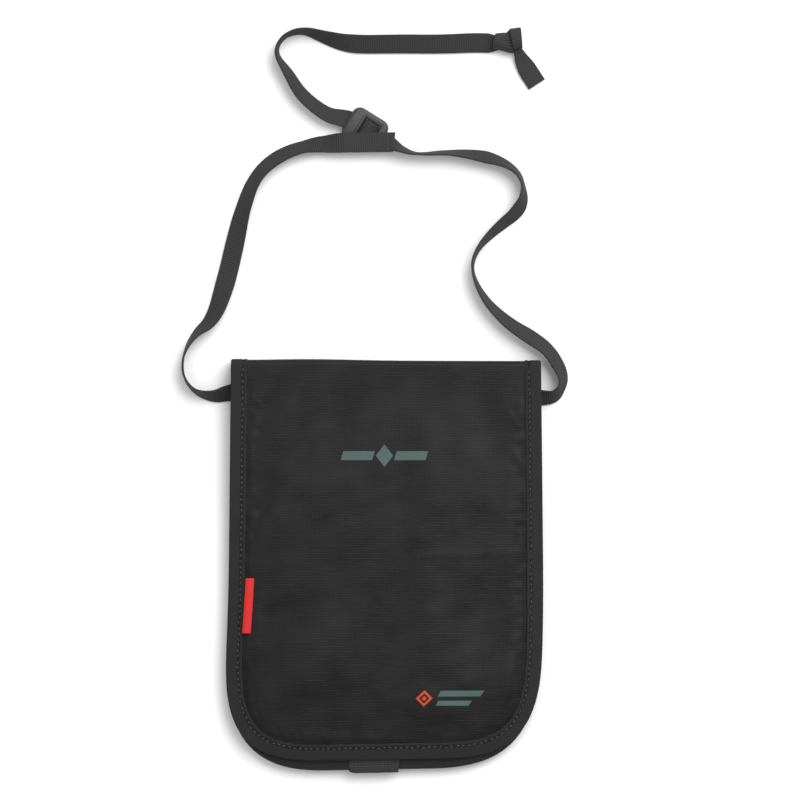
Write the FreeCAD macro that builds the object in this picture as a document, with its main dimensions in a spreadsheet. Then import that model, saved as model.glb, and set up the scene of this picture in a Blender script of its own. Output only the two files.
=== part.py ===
"""Neck pouch wallet: a flat pouch worn on a neck strap, closed by a flap that covers its whole front.

Frame: the pouch lies on its back. The origin is the centre of the back face, +Z points out through the
flap, +Y towards the top fold, and +X to the wearer's left. Lengths are in millimetres.
"""
import FreeCAD, Part
import math
import os
import re
import Sketcher
from FreeCAD import Placement, Rotation, Vector

SIZES = (
    ("top_width", 138.6, "width of the pouch just under its top fold"),
    ("low_width", 140.8, "width between the flared sides where the lower corners start"),
    ("top_edge", 91.7, "height of the top fold above the centre"),
    ("body_depth", 91.8, "distance from the centre down to the bottom of the body"),
    ("flap_depth", 87.0, "distance from the centre down to the bottom of the flap"),
    ("corner_radius", 42.0, "radius of the two lower corners"),
    ("bottom_radius", 260.0, "radius of the shallow curve along the bottom"),
    ("binding_width", 7.2, "width of the binding tape seen on one face"),
    ("binding_wall", 1.2, "thickness of the folded binding beside the cloth's edge"),
    ("leaf", 0.4, "thickness of one leaf of binding tape"),
    ("cloth", 0.4, "thickness of the coated shell cloth"),
    ("foil", 0.2, "thickness of the shielding foil"),
    ("lining", 0.3, "thickness of the lining cloth"),
    ("main_gap", 4.3, "room in the main compartment"),
    ("pocket_gap", 1.1, "room in the zip pocket"),
    ("flap_gap", 1.2, "room between the body binding and the flap binding"),
    ("joint_gap", 0.3, "clearance between pieces that move past each other"),
    ("small_gap", 0.15, "clearance between small fitted pieces"),
    ("hinge_room", 2.0, "distance from the fold line to the end of the flap's flat cloth"),
    ("mouth_edge", 74.0, "height of the front panel's upper edge"),
    ("zip_height", 52.0, "height of the zip across the front"),
    ("zip_opening", 12.0, "distance between the two front panels along the zip"),
    ("zip_length", 108.0, "length of the zip between its stops"),
    ("tape_width", 9.0, "width of one zip tape"),
    ("tooth_height", 0.8, "height of the zip teeth above their tape"),
    ("tooth_reach", 2.2, "width of one row of teeth"),
    ("tooth_pitch", 2.0, "distance from one tooth to the next"),
    ("tooth_width", 1.1, "width of one tooth along the zip"),
    ("tooth_split", 1.2, "gap between the two rows of teeth"),
    ("slider_length", 9.0, "length of the zip slider"),
    ("slider_wall", 0.8, "thickness of the slider's two side lips"),
    ("slider_plate", 0.3, "thickness of the slider's two plates"),
    ("pin_radius", 0.7, "radius of the slider's pull pin"),
    ("pull_length", 13.0, "length of the zip pull beyond its pin"),
    ("pull_width", 4.4, "width of the zip pull"),
    ("pull_plate", 0.6, "thickness of the zip pull"),
    ("slot_width", 96.0, "width of a card slot"),
    ("slot_depth", 58.0, "depth of a card slot"),
    ("slot_step", 14.0, "step between the two card slots"),
    ("slot_low", -62.0, "height of the front card slot's lower edge"),
    ("window_side", 11.2, "distance from the window's border to the binding beside it"),
    ("window_tall", 78.0, "height of the clear window with its border"),
    ("window_low", -46.0, "height of the window border's lower edge"),
    ("border_width", 5.0, "width of the window's border tape"),
    ("patch_width", 50.0, "width of the hook and loop patches"),
    ("patch_tall", 16.0, "height of the hook and loop patches"),
    ("patch_low", -70.0, "height of the patches' lower edge"),
    ("hook_pile", 0.4, "height of the hook patch"),
    ("tab_width", 22.3, "width of the webbing tab that opens the flap"),
    ("tab_middle", -4.0, "sideways place of the tab's middle"),
    ("tab_drop", 6.4, "how far the tab reaches below the flap"),
    ("tab_hidden", 12.0, "length of the tab under the flap"),
    ("tab_plate", 0.85, "thickness of the folded tab"),
    ("label_width", 3.8, "width of the folded side label"),
    ("label_tall", 24.6, "height of the folded side label"),
    ("label_low", -30.5, "height of the label's lower edge"),
    ("label_lap", 0.9, "how far the label laps over the binding"),
    ("label_plate", 0.7, "thickness of the label above the binding"),
    ("thread", 0.8, "width of a row of stitches"),
    ("thread_plate", 0.15, "height of a row of stitches"),
    ("thread_inset", 4.6, "distance from a binding's outer edge to its stitches"),
    ("print_plate", 0.1, "thickness of the printed marks"),
    ("print_height", 48.8, "height of the upper mark's centre"),
    ("print_width", 39.0, "width of the upper mark"),
    ("print_tall", 10.0, "height of the upper mark"),
    ("corner_print_x", 28.6, "sideways place of the lower mark's centre"),
    ("corner_print_y", -59.5, "height of the lower mark's centre"),
    ("corner_print_width", 30.4, "width of the lower mark"),
    ("corner_print_tall", 7.5, "height of the lower mark"),
    ("webbing_width", 8.8, "width of the neck strap's webbing"),
    ("webbing", 1.2, "thickness of the neck strap's webbing"),
    ("floor_gap", 0.1, "height of the strap above the surface it lies on"),
    ("anchor_inside", 9.0, "length of strap sewn inside the side seam"),
    ("adjuster_length", 16.4, "length of the strap adjuster"),
    ("adjuster_width", 13.6, "width of the strap adjuster"),
    ("adjuster_plate", 2.0, "thickness of the strap adjuster"),
    ("adjuster_rail", 2.4, "width of the adjuster's end rails"),
    ("adjuster_bar", 2.0, "width of the adjuster's middle bar"),
    ("adjuster_corner", 3.0, "radius of the adjuster's corners"),
    ("knot_length", 12.3, "length of the end knot"),
    ("knot_width", 11.5, "width of the end knot"),
    ("knot_tall", 8.8, "height of the end knot"),
    ("knot_round", 3.4, "rounding of the end knot"),
    ("tail_length", 18.0, "length of webbing past the knot"),
    ("sewn_plate", 1.4, "thickness of the strap's doubled, sewn end"),
)

# Route of the neck strap's centreline on the surface that the pouch lies on.
LEFT_ROUTE = (
    (-70.9, 76.8), (-78.3, 74.9), (-86.6, 76.5), (-91.6, 83.6), (-91.4, 93.0), (-85.3, 103.3),
    (-76.5, 112.5), (-72.6, 126.0), (-68.3, 142.5), (-64.6, 159.0), (-58.4, 173.6), (-48.6, 182.3),
    (-38.6, 186.9), (-29.1, 188.5),
)
RIGHT_ROUTE = (
    (70.7, 74.5), (76.9, 74.3), (82.0, 77.8), (84.2, 83.6), (82.3, 89.9), (74.9, 95.7),
    (64.6, 102.4), (53.6, 109.5), (43.8, 117.8), (38.2, 129.5), (40.4, 141.6), (50.4, 151.4),
    (60.4, 158.6), (62.8, 169.6), (56.8, 179.4), (44.4, 182.8), (31.0, 184.3), (19.0, 183.6),
    (8.3, 185.6),
)
TAIL_ROUTE = (
    (-18.3, 199.1), (-27.6, 201.8), (-37.0, 208.0), (-43.8, 217.0), (-49.4, 226.0), (-49.3, 232.6),
    (-45.1, 237.7), (-38.7, 239.2), (-28.7, 235.2), (-14.0, 231.8), (6.0, 232.5), (24.0, 232.5),
    (38.0, 233.8), (48.7, 233.4),
)
ARC_SHARE = 0.45
KNOT_CENTRE = Vector(54.9, 234.2, 0)
KNOT_TAIL_TURN = -60.4
ADJUSTER_ALONG = 19.8
ADJUSTER_TURN = -5.0
SEWN_END_X = 3.3
SEWN_RISE = 7.0

doc = FreeCAD.newDocument("neck_pouch_wallet")
sheet = doc.addObject("Spreadsheet::Sheet", "Sizes")
for row, (alias, size, meaning) in enumerate(SIZES, start=1):
    sheet.set(f"A{row}", meaning)
    sheet.set(f"B{row}", str(size))
    sheet.setAlias(f"B{row}", alias)
doc.recompute()

# Heights of the layers, from the back face up, as formulas of the sheet's names.
Z_BACK = "leaf + cloth"
Z_FOIL = f"{Z_BACK} + foil"
Z_LINING = f"{Z_FOIL} + lining"
Z_SLOTS = f"{Z_LINING} + 2 * lining"
Z_DIVIDER = f"{Z_SLOTS} + main_gap"
Z_POCKET = f"{Z_DIVIDER} + lining"
Z_FRONT = f"{Z_POCKET} + pocket_gap"
Z_FRONT_TOP = f"{Z_FRONT} + cloth"
Z_BODY_TOP = f"{Z_FRONT_TOP} + leaf"
Z_FLAP = f"{Z_BODY_TOP} + flap_gap"
Z_FLAP_LINING = f"{Z_FLAP} + leaf"
Z_FLAP_FOIL = f"{Z_FLAP_LINING} + lining"
Z_FLAP_CLOTH = f"{Z_FLAP_FOIL} + foil"
Z_FLAP_LEAF = f"{Z_FLAP_CLOTH} + cloth"
Z_FLAP_TOP = f"{Z_FLAP_LEAF} + leaf"
Z_STRAP = "floor_gap + webbing_width / 2"
Z_TEETH = f"{Z_FRONT} + tooth_height"
Z_SLIDER_LOW = f"{Z_FRONT} - lining - small_gap - slider_plate"
Z_SLIDER_TOP = f"{Z_TEETH} + small_gap + slider_plate"
Z_PULL = f"{Z_SLIDER_TOP} + small_gap"
BODY_BOTTOM = "-body_depth"
FLAP_BOTTOM = "-flap_depth"
BODY_TOP_EDGE = "top_edge - binding_wall"
FLAP_TOP_EDGE = "top_edge - hinge_room"

parts = []


def formula(text):
    """Write a formula of size names as an expression that reads the sheet."""
    return re.sub(r"[a-z_]+", lambda word: "Sizes." + word.group(), text)


def value(text):
    """Work a formula of size names out as a number."""
    return float(sheet.evalExpression(formula(text)))


def keep(piece, node):
    """Name a finished piece and put it on the list of pieces."""
    piece.Label = node
    parts.append(piece)
    return piece


def new_body(node):
    """An empty body that will be one piece."""
    return keep(doc.addObject("PartDesign::Body", node), node)


def new_sketch(body, height, role="XY_Plane"):
    """An empty sketch, parallel to one of the body's own planes and that far along its normal."""
    sketch = body.newObject("Sketcher::SketchObject", f"{body.Name}_sketch")
    plane = [feature for feature in body.Origin.OriginFeatures if feature.Role == role][0]
    sketch.AttachmentSupport = [(plane, "")]
    sketch.MapMode = "FlatFace"
    sketch.setExpression("AttachmentOffset.Base.z", formula(height))
    return sketch


def size_constraint(sketch, kind, *arguments, size):
    """Add a dimension and tie it to a formula of the sheet's sizes."""
    index = sketch.addConstraint(Sketcher.Constraint(kind, *arguments, value(size)))
    sketch.setExpression(f"Constraints[{index}]", formula(size))


def right_side_of(bottom, inset):
    """The right side of an inset outline: its shoulder level with the fold, the centre of its corner,
    and the turn at which the side touches the corner's circle."""
    radius = value(f"corner_radius - ({inset})")
    bow_radius = value(f"bottom_radius - ({inset})")
    corner_x = value("low_width / 2 - corner_radius")
    drop = math.sqrt((bow_radius - radius) ** 2 - corner_x ** 2)
    shoulder = Vector(value(f"top_width / 2 - ({inset})"), value("top_edge"), 0)
    corner = Vector(corner_x, value(f"{bottom} + bottom_radius") - drop, 0)
    slant = shoulder - corner
    turn = math.atan2(slant.y, slant.x) - math.acos(radius / slant.Length)
    return shoulder, corner, turn, corner + Vector(math.cos(turn), math.sin(turn), 0) * radius


def side_at(height, bottom, inset):
    """Half the outline's width at a height on its straight side."""
    shoulder, _, _, tangent = right_side_of(bottom, inset)
    share = (height - tangent.y) / (shoulder.y - tangent.y)
    return tangent.x + share * (shoulder.x - tangent.x)


def add_outline(sketch, top, bottom, inset):
    """Draw the pouch's outline, moved inwards by an inset.

    It has a straight top, slightly flared sides, round lower corners and a shallow curve between them.
    A construction point on the right side, level with the fold, sets how far the sides flare.
    """
    radius = value(f"corner_radius - ({inset})")
    bow_radius = value(f"bottom_radius - ({inset})")
    top_y = value(top)
    half_top = side_at(top_y, bottom, inset)
    shoulder, corner, side_turn, side = right_side_of(bottom, inset)
    bow_centre = Vector(0, value(f"{bottom} + bottom_radius"), 0)
    low_turn = math.atan2(corner.y - bow_centre.y, corner.x)

    first = sketch.GeometryCount
    names = range(first, first + 7)
    top_line, right_side, right_corner, bottom_arc, left_corner, left_side, shoulder_point = names
    axis = Vector(0, 0, 1)
    right_circle = Part.Circle(corner, axis, radius)
    bow_circle = Part.Circle(bow_centre, axis, bow_radius)
    left_circle = Part.Circle(Vector(-corner.x, corner.y, 0), axis, radius)
    sketch.addGeometry([
        Part.LineSegment(Vector(-half_top, top_y, 0), Vector(half_top, top_y, 0)),
        Part.LineSegment(Vector(half_top, top_y, 0), side),
        Part.ArcOfCircle(right_circle, low_turn, side_turn),
        Part.ArcOfCircle(bow_circle, -math.pi - low_turn, low_turn),
        Part.ArcOfCircle(left_circle, math.pi - side_turn, math.pi - low_turn),
        Part.LineSegment(Vector(-half_top, top_y, 0), Vector(-side.x, side.y, 0)),
    ], False)
    sketch.addGeometry(Part.Point(shoulder), True)
    sketch.addConstraint([
        Sketcher.Constraint("Coincident", top_line, 2, right_side, 1),
        Sketcher.Constraint("Coincident", top_line, 1, left_side, 1),
        Sketcher.Constraint("Tangent", right_side, 2, right_corner, 2),
        Sketcher.Constraint("Tangent", right_corner, 1, bottom_arc, 2),
        Sketcher.Constraint("Tangent", bottom_arc, 1, left_corner, 2),
        Sketcher.Constraint("Tangent", left_corner, 1, left_side, 2),
        Sketcher.Constraint("Symmetric", top_line, 1, top_line, 2, -2),
        Sketcher.Constraint("Equal", right_corner, left_corner),
        Sketcher.Constraint("PointOnObject", bottom_arc, 3, -2),
        Sketcher.Constraint("PointOnObject", shoulder_point, 1, right_side),
    ])
    size_constraint(sketch, "Radius", right_corner, size=f"corner_radius - ({inset})")
    size_constraint(sketch, "Radius", bottom_arc, size=f"bottom_radius - ({inset})")
    size_constraint(sketch, "DistanceX", -1, 1, right_corner, 3, size="low_width / 2 - corner_radius")
    size_constraint(sketch, "DistanceX", left_corner, 3, -1, 1, size="low_width / 2 - corner_radius")
    size_constraint(sketch, "DistanceY", -1, 1, top_line, 1, size=top)
    size_constraint(sketch, "DistanceY", -1, 1, bottom_arc, 3, size=f"{bottom} + bottom_radius")
    size_constraint(sketch, "DistanceX", -1, 1, shoulder_point, 1, size=f"top_width / 2 - ({inset})")
    size_constraint(sketch, "DistanceY", -1, 1, shoulder_point, 1, size="top_edge")


def add_rectangle(sketch, left, right, low, high):
    """Draw a rectangle whose four sides are tied to formulas."""
    first = sketch.GeometryCount
    corners = [
        Vector(value(left), value(low), 0), Vector(value(right), value(low), 0),
        Vector(value(right), value(high), 0), Vector(value(left), value(high), 0),
    ]
    for index, corner in enumerate(corners):
        sketch.addGeometry(Part.LineSegment(corner, corners[(index + 1) % 4]), False)
    for index in range(4):
        following = first + (index + 1) % 4
        sketch.addConstraint(Sketcher.Constraint("Coincident", first + index, 2, following, 1))
        direction = "Vertical" if index % 2 else "Horizontal"
        sketch.addConstraint(Sketcher.Constraint(direction, first + index))
    size_constraint(sketch, "DistanceX", -1, 1, first, 1, size=left)
    size_constraint(sketch, "DistanceX", -1, 1, first + 1, 1, size=right)
    size_constraint(sketch, "DistanceY", -1, 1, first, 1, size=low)
    size_constraint(sketch, "DistanceY", -1, 1, first + 2, 1, size=high)


def pad(body, sketch, thickness, symmetric=False):
    """Raise a sketch into material."""
    feature = body.newObject("PartDesign::Pad", f"{body.Name}_pad")
    feature.Profile = sketch
    feature.setExpression("Length", formula(thickness))
    if symmetric:
        feature.SideType = "Symmetric"
    return feature


def pocket(body, sketch, depth=None, symmetric=False):
    """Cut a sketch upwards out of the body, right through unless it has a depth."""
    doc.recompute()
    before = body.Shape.Volume
    feature = body.newObject("PartDesign::Pocket", f"{body.Name}_pocket")
    feature.Profile = sketch
    feature.Reversed = not symmetric
    if symmetric:
        feature.SideType = "Symmetric"
    if depth is None:
        feature.Type = "ThroughAll"
    else:
        feature.setExpression("Length", formula(depth))
    doc.recompute()
    if body.Shape.Volume >= before:
        raise ValueError(f"a pocket in {body.Label} cuts nothing")
    return feature


def round_edges(body, radius, upright_only):
    """Round a body's edges: all of them, or only the upright ones."""
    doc.recompute()
    base = body.Tip
    edges = [f"Edge{number}" for number, edge in enumerate(base.Shape.Edges, start=1)
             if not upright_only or abs(edge.tangentAt(edge.FirstParameter).z) > 0.5]
    feature = body.newObject("PartDesign::Fillet", f"{body.Name}_rounding")
    feature.Base = (base, edges)
    feature.setExpression("Radius", formula(radius))


def plate(node, inset, top, bottom, low, thickness):
    """A flat piece of cloth, foil or lining with the pouch's outline."""
    body = new_body(node)
    sketch = new_sketch(body, low)
    add_outline(sketch, top, bottom, inset)
    pad(body, sketch, thickness)
    return body


def box(node, left, right, low, high, base, thickness, named=True):
    """A rectangular piece between two sides, a lower and an upper edge, and of a thickness."""
    piece = doc.addObject("Part::Box", node)
    piece.setExpression("Length", formula(f"{right} - ({left})"))
    piece.setExpression("Width", formula(f"{high} - ({low})"))
    piece.setExpression("Height", formula(thickness))
    piece.setExpression("Placement.Base.x", formula(left))
    piece.setExpression("Placement.Base.y", formula(low))
    piece.setExpression("Placement.Base.z", formula(base))
    return keep(piece, node) if named else piece


def binding(node, top, bottom, low, height):
    """Tape folded round the sides and bottom: a U in plan and a channel in section, open upwards."""
    body = new_body(node)
    outer = new_sketch(body, low)
    add_outline(outer, top, bottom, "0")
    pad(body, outer, height)
    channel = new_sketch(body, f"{low} + leaf")
    add_outline(channel, f"{top} + binding_width", bottom, "binding_wall")
    pocket(body, channel, f"{height} - 2 * leaf")
    inner = new_sketch(body, low)
    add_outline(inner, f"{top} + binding_width", bottom, "binding_width")
    pocket(body, inner)
    return body


def stitch_row(node, top, bottom, low):
    """The line of stitches along a binding, as one thin raised strip."""
    body = new_body(node)
    outer = new_sketch(body, low)
    add_outline(outer, top, bottom, "thread_inset")
    pad(body, outer, "thread_plate")
    inner = new_sketch(body, low)
    add_outline(inner, f"{top} + thread", bottom, "thread_inset + thread")
    pocket(body, inner)
    return body


def make_back():
    """The back wall: shell cloth whose rim steps into the binding, then foil and lining."""
    body = plate("back_panel", "binding_width", BODY_TOP_EDGE, BODY_BOTTOM, "0", Z_BACK)
    rim = new_sketch(body, "leaf")
    add_outline(rim, BODY_TOP_EDGE, BODY_BOTTOM, "binding_wall")
    pad(body, rim, "cloth")
    plate("back_shield_foil", "binding_wall", BODY_TOP_EDGE, BODY_BOTTOM, Z_BACK, "foil")
    plate("back_lining", "binding_wall", BODY_TOP_EDGE, BODY_BOTTOM, Z_FOIL, "lining")


def make_card_slots():
    """Two card slots sewn to the back lining, the front one a step lower than the rear one."""
    rear_low = "slot_low + slot_step"
    box("card_slot_rear", "-slot_width / 2", "slot_width / 2", rear_low, f"{rear_low} + slot_depth",
        Z_LINING, "lining")
    box("card_slot_front", "-slot_width / 2", "slot_width / 2", "slot_low", "slot_low + slot_depth",
        f"{Z_LINING} + lining", "lining")


def make_front():
    """The divider behind the zip pocket, the front wall in two panels, and its window."""
    plate("divider_panel", "binding_wall", "mouth_edge", BODY_BOTTOM, Z_DIVIDER, "lining")
    plate("front_panel_lower", "binding_wall", "zip_height - zip_opening / 2", BODY_BOTTOM, Z_FRONT,
          "cloth")
    upper = plate("front_panel_upper", "binding_wall", "mouth_edge", BODY_BOTTOM, Z_FRONT, "cloth")
    below = new_sketch(upper, Z_FRONT)
    add_rectangle(below, "-low_width", "low_width", f"{BODY_BOTTOM} - binding_width",
                  "zip_height + zip_opening / 2")
    pocket(upper, below)
    window_half = "low_width / 2 - binding_width - window_side"
    film_side = f"{window_half} - border_width"
    film_low = "window_low + border_width"
    film_high = "window_low + window_tall - border_width"
    box("id_window", f"-({film_side})", film_side, film_low, film_high, Z_FRONT_TOP, "foil")
    outer = box("window_outer", f"-({window_half})", window_half, "window_low",
                "window_low + window_tall", Z_FRONT_TOP, "leaf", named=False)
    inner = box("window_hole", f"-({film_side})", film_side, film_low, film_high, Z_FRONT_TOP, "leaf",
                named=False)
    border = doc.addObject("Part::Cut", "window_border")
    border.Base = outer
    border.Tool = inner
    keep(border, "window_border")


def make_teeth(node, side, start):
    """One row of zip teeth on its cord. side is 1 for the upper row and -1 for the lower."""
    near = "tooth_split / 2"
    far = f"{near} + tooth_reach"
    cord_edge = f"{near} + tooth_reach / 2"
    body = new_body(node)
    for left, right, inner in (("-zip_length / 2", "zip_length / 2", cord_edge),
                               (start, f"{start} + tooth_width", near)):
        sketch = new_sketch(body, Z_FRONT)
        low, high = sorted((f"zip_height + {side} * ({inner})", f"zip_height + {side} * ({far})"), key=value)
        add_rectangle(sketch, left, right, low, high)
        feature = pad(body, sketch, "tooth_height")
    doc.recompute()
    pattern = body.newObject("PartDesign::LinearPattern", f"{node}_pattern")
    pattern.Originals = [feature]
    pattern.Direction = (sketch, ["H_Axis"])
    count = int((value("zip_length") - value("tooth_width") - value("tooth_pitch")) / value("tooth_pitch"))
    pattern.Occurrences = count + 1
    pattern.setExpression("Length", formula(f"{count} * tooth_pitch"))
    body.Tip = pattern


def make_zip():
    """The zip across the front: two tapes under the panels, two rows of teeth and the end stops."""
    side = "zip_length / 2 + tooth_pitch"
    near = "tooth_split / 2"
    base = f"{Z_FRONT} - lining"
    box("zip_tape_lower", f"-({side})", side, f"zip_height - {near} - tape_width", f"zip_height - {near}",
        base, "lining")
    box("zip_tape_upper", f"-({side})", side, f"zip_height + {near}", f"zip_height + {near} + tape_width",
        base, "lining")
    make_teeth("zip_teeth_lower", -1, "-zip_length / 2")
    make_teeth("zip_teeth_upper", 1, "-zip_length / 2 + tooth_pitch / 2")
    reach = "tooth_split / 2 + tooth_reach"
    stops = []
    for name, left in (("left", "-zip_length / 2 - tooth_pitch"), ("right", "zip_length / 2")):
        stop = box(f"zip_stop_{name}", left, f"{left} + tooth_pitch", f"zip_height - ({reach})",
                   f"zip_height + {reach}", Z_FRONT, "tooth_height", named=False)
        stops.append(stop)
    both = doc.addObject("Part::Compound", "zip_end_stops")
    both.Links = stops
    keep(both, "zip_end_stops")


def make_slider():
    """The zip slider: two plates joined by a post between the rows of teeth, with a pin for the pull."""
    half_length = "slider_length / 2"
    middle = f"zip_length / 2 - joint_gap - {half_length}"
    inside = "tooth_split / 2 + tooth_reach + joint_gap"
    body = new_body("zip_slider")
    shell = new_sketch(body, Z_SLIDER_LOW)
    left = f"{middle} - {half_length}"
    right = f"{middle} + {half_length}"
    low = f"zip_height - ({inside}) - slider_wall"
    high = f"zip_height + {inside} + slider_wall"
    add_rectangle(shell, left, right, low, high)
    pad(body, shell, f"{Z_SLIDER_TOP} - ({Z_SLIDER_LOW})")
    tunnel = new_sketch(body, f"{Z_SLIDER_LOW} + slider_plate")
    add_rectangle(tunnel, f"{left} - slider_wall", f"{right} + slider_wall", f"zip_height - ({inside})",
                  f"zip_height + {inside}")
    post = "tooth_split / 2 - small_gap"
    add_rectangle(tunnel, f"{middle} - pin_radius", f"{middle} + pin_radius", f"zip_height - ({post})",
                  f"zip_height + {post}")
    pocket(body, tunnel, f"{Z_SLIDER_TOP} - ({Z_SLIDER_LOW}) - 2 * slider_plate")
    tape_slot = new_sketch(body, f"{Z_SLIDER_LOW} + slider_plate")
    for slot_low, slot_high in ((f"{low} - slider_wall", f"zip_height - ({inside})"),
                                (f"zip_height + {inside}", f"{high} + slider_wall")):
        add_rectangle(tape_slot, f"{left} - slider_wall", f"{right} + slider_wall", slot_low, slot_high)
    pocket(body, tape_slot, "lining + 2 * small_gap")
    pin = new_sketch(body, Z_SLIDER_TOP)
    centre = Vector(value(middle), value("zip_height"), 0)
    pin.addGeometry(Part.Circle(centre, Vector(0, 0, 1), value("pin_radius")), False)
    size_constraint(pin, "Radius", 0, size="pin_radius")
    size_constraint(pin, "DistanceX", -1, 1, 0, 3, size=middle)
    size_constraint(pin, "DistanceY", -1, 1, 0, 3, size="zip_height")
    pad(body, pin, "small_gap + pull_plate")
    return middle


def make_pull(middle):
    """The zip pull: a flat tab with an eye round the slider's pin, hanging down from the zip."""
    body = new_body("zip_pull")
    sketch = new_sketch(body, Z_PULL)
    half = "pull_width / 2"
    add_rectangle(sketch, f"{middle} - {half}", f"{middle} + {half}", "zip_height - pull_length",
                  f"zip_height + {half}")
    pad(body, sketch, "pull_plate")
    round_edges(body, "pull_width / 3", upright_only=True)
    eye = new_sketch(body, Z_PULL)
    centre = Vector(value(middle), value("zip_height"), 0)
    eye.addGeometry(Part.Circle(centre, Vector(0, 0, 1), value("pin_radius + small_gap")), False)
    size_constraint(eye, "Radius", 0, size="pin_radius + small_gap")
    size_constraint(eye, "DistanceX", -1, 1, 0, 3, size=middle)
    size_constraint(eye, "DistanceY", -1, 1, 0, 3, size="zip_height")
    pocket(body, eye)


def make_patches():
    """The loop patch on the body and the hook patch on the flap, which close the pouch."""
    half = "patch_width / 2"
    high = "patch_low + patch_tall"
    loop_pile = "leaf + flap_gap + leaf - hook_pile - joint_gap"
    box("loop_patch", f"-{half}", half, "patch_low", high, Z_FRONT_TOP, loop_pile)
    box("hook_patch", f"-{half}", half, "patch_low", high, f"{Z_FLAP_LINING} - hook_pile", "hook_pile")


def make_top_fold():
    """The stretch of shell cloth that turns up from the back wall to the fold line."""
    body = new_body("top_fold")
    sketch = new_sketch(body, "0", role="YZ_Plane")
    low = value("leaf")
    high = value(f"{Z_FLAP} - joint_gap")
    edge = value("top_edge")
    wall = value("binding_wall")
    corner = Vector(edge - wall, low, 0)
    arc_end = Vector(edge, low + wall, 0)
    centre = Vector(edge - wall, low + wall, 0)
    sketch.addGeometry([
        Part.ArcOfCircle(Part.Circle(centre, Vector(0, 0, 1), wall), -math.pi / 2, 0),
        Part.LineSegment(arc_end, Vector(edge, high, 0)),
        Part.LineSegment(Vector(edge, high, 0), Vector(edge - wall, high, 0)),
        Part.LineSegment(Vector(edge - wall, high, 0), corner),
    ], False)
    sketch.addConstraint([
        Sketcher.Constraint("Tangent", 0, 2, 1, 1),
        Sketcher.Constraint("Coincident", 1, 2, 2, 1),
        Sketcher.Constraint("Coincident", 2, 2, 3, 1),
        Sketcher.Constraint("Coincident", 3, 2, 0, 1),
        Sketcher.Constraint("Vertical", 1),
        Sketcher.Constraint("Horizontal", 2),
        Sketcher.Constraint("Vertical", 3),
        Sketcher.Constraint("PointOnObject", 0, 3, 3),
    ])
    size_constraint(sketch, "Radius", 0, size="binding_wall")
    size_constraint(sketch, "DistanceX", -1, 1, 1, 1, size="top_edge")
    size_constraint(sketch, "DistanceY", -1, 1, 1, 2, size=f"{Z_FLAP} - joint_gap")
    size_constraint(sketch, "DistanceY", -1, 1, 3, 2, size="leaf")
    pad(body, sketch, "top_width", symmetric=True)


def make_flap():
    """The flap: binding, lining, foil and shell cloth, with its tab, label and printed marks."""
    binding("flap_binding", FLAP_TOP_EDGE, FLAP_BOTTOM, Z_FLAP, f"{Z_FLAP_TOP} - ({Z_FLAP})")
    for node, low, thickness in (("flap_lining", Z_FLAP_LINING, "lining"),
                                 ("flap_shield_foil", Z_FLAP_FOIL, "foil"),
                                 ("flap_panel", Z_FLAP_CLOTH, "cloth")):
        plate(node, "binding_wall", FLAP_TOP_EDGE, FLAP_BOTTOM, low, thickness)
    stitch_row("flap_thread", FLAP_TOP_EDGE, FLAP_BOTTOM, Z_FLAP_TOP)
    box("pull_tab", "tab_middle - tab_width / 2", "tab_middle + tab_width / 2",
        "-flap_depth - tab_drop", "tab_hidden - flap_depth", f"{Z_FLAP} - tab_plate", "tab_plate")


def make_label():
    """The folded side label, sewn down where the binding meets the flap's cloth."""
    low = value("label_low")
    tall = value("label_tall")
    edges = [side_at(height, FLAP_BOTTOM, "binding_width") for height in (low, low + tall)]
    left = -max(edges) - value("label_lap")
    step = value("small_gap") - min(edges)
    right = left + value("label_width")
    base = value(Z_FLAP_LEAF)
    lap = value(Z_FLAP_TOP)
    top = lap + value("label_plate")
    profile = [(left, lap), (left, top), (right, top), (right, base), (step, base), (step, lap), (left, lap)]
    face = Part.Face(Part.makePolygon([Vector(across, low, up) for across, up in profile]))
    label = doc.addObject("Part::Feature", "side_label")
    label.Shape = face.extrude(Vector(0, tall, 0))
    keep(label, "side_label")


def printed_shape(node, pieces, low_left):
    """A printed mark: flat shapes, each a closed run of points in shares of the mark's own box."""
    width, tall = low_left[2:]
    solids = []
    for corners in pieces:
        points = [Vector(low_left[0] + across * width, low_left[1] + up * tall, value(Z_FLAP_LEAF))
                  for across, up in corners]
        face = Part.Face(Part.makePolygon(points + points[:1]))
        solids.append(face.extrude(Vector(0, 0, value("print_plate"))))
    mark = doc.addObject("Part::Feature", node)
    mark.Shape = Part.makeCompound(solids)
    keep(mark, node)


def make_marks():
    """Two plain printed marks: bars each side of a lozenge, and a small square with two bars."""
    width = value("print_width")
    tall = value("print_tall")
    bars = [[(0.0, 0.36), (0.36, 0.36), (0.39, 0.64), (0.03, 0.64)],
            [(0.5, 0.0), (0.6, 0.5), (0.5, 1.0), (0.4, 0.5)],
            [(0.61, 0.36), (0.97, 0.36), (1.0, 0.64), (0.64, 0.64)]]
    printed_shape("front_print", bars, (-width / 2, value("print_height") - tall / 2, width, tall))
    width = value("corner_print_width")
    tall = value("corner_print_tall")
    left = value("corner_print_x") - width / 2
    low = value("corner_print_y") - tall / 2
    square = [[(0.0, 0.5), (0.125, 0.0), (0.25, 0.5), (0.125, 1.0)],
              [(0.32, 0.6), (0.94, 0.6), (1.0, 0.95), (0.36, 0.95)],
              [(0.3, 0.05), (0.78, 0.05), (0.82, 0.35), (0.33, 0.35)]]
    printed_shape("corner_print", square, (left, low, width, tall))


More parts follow.
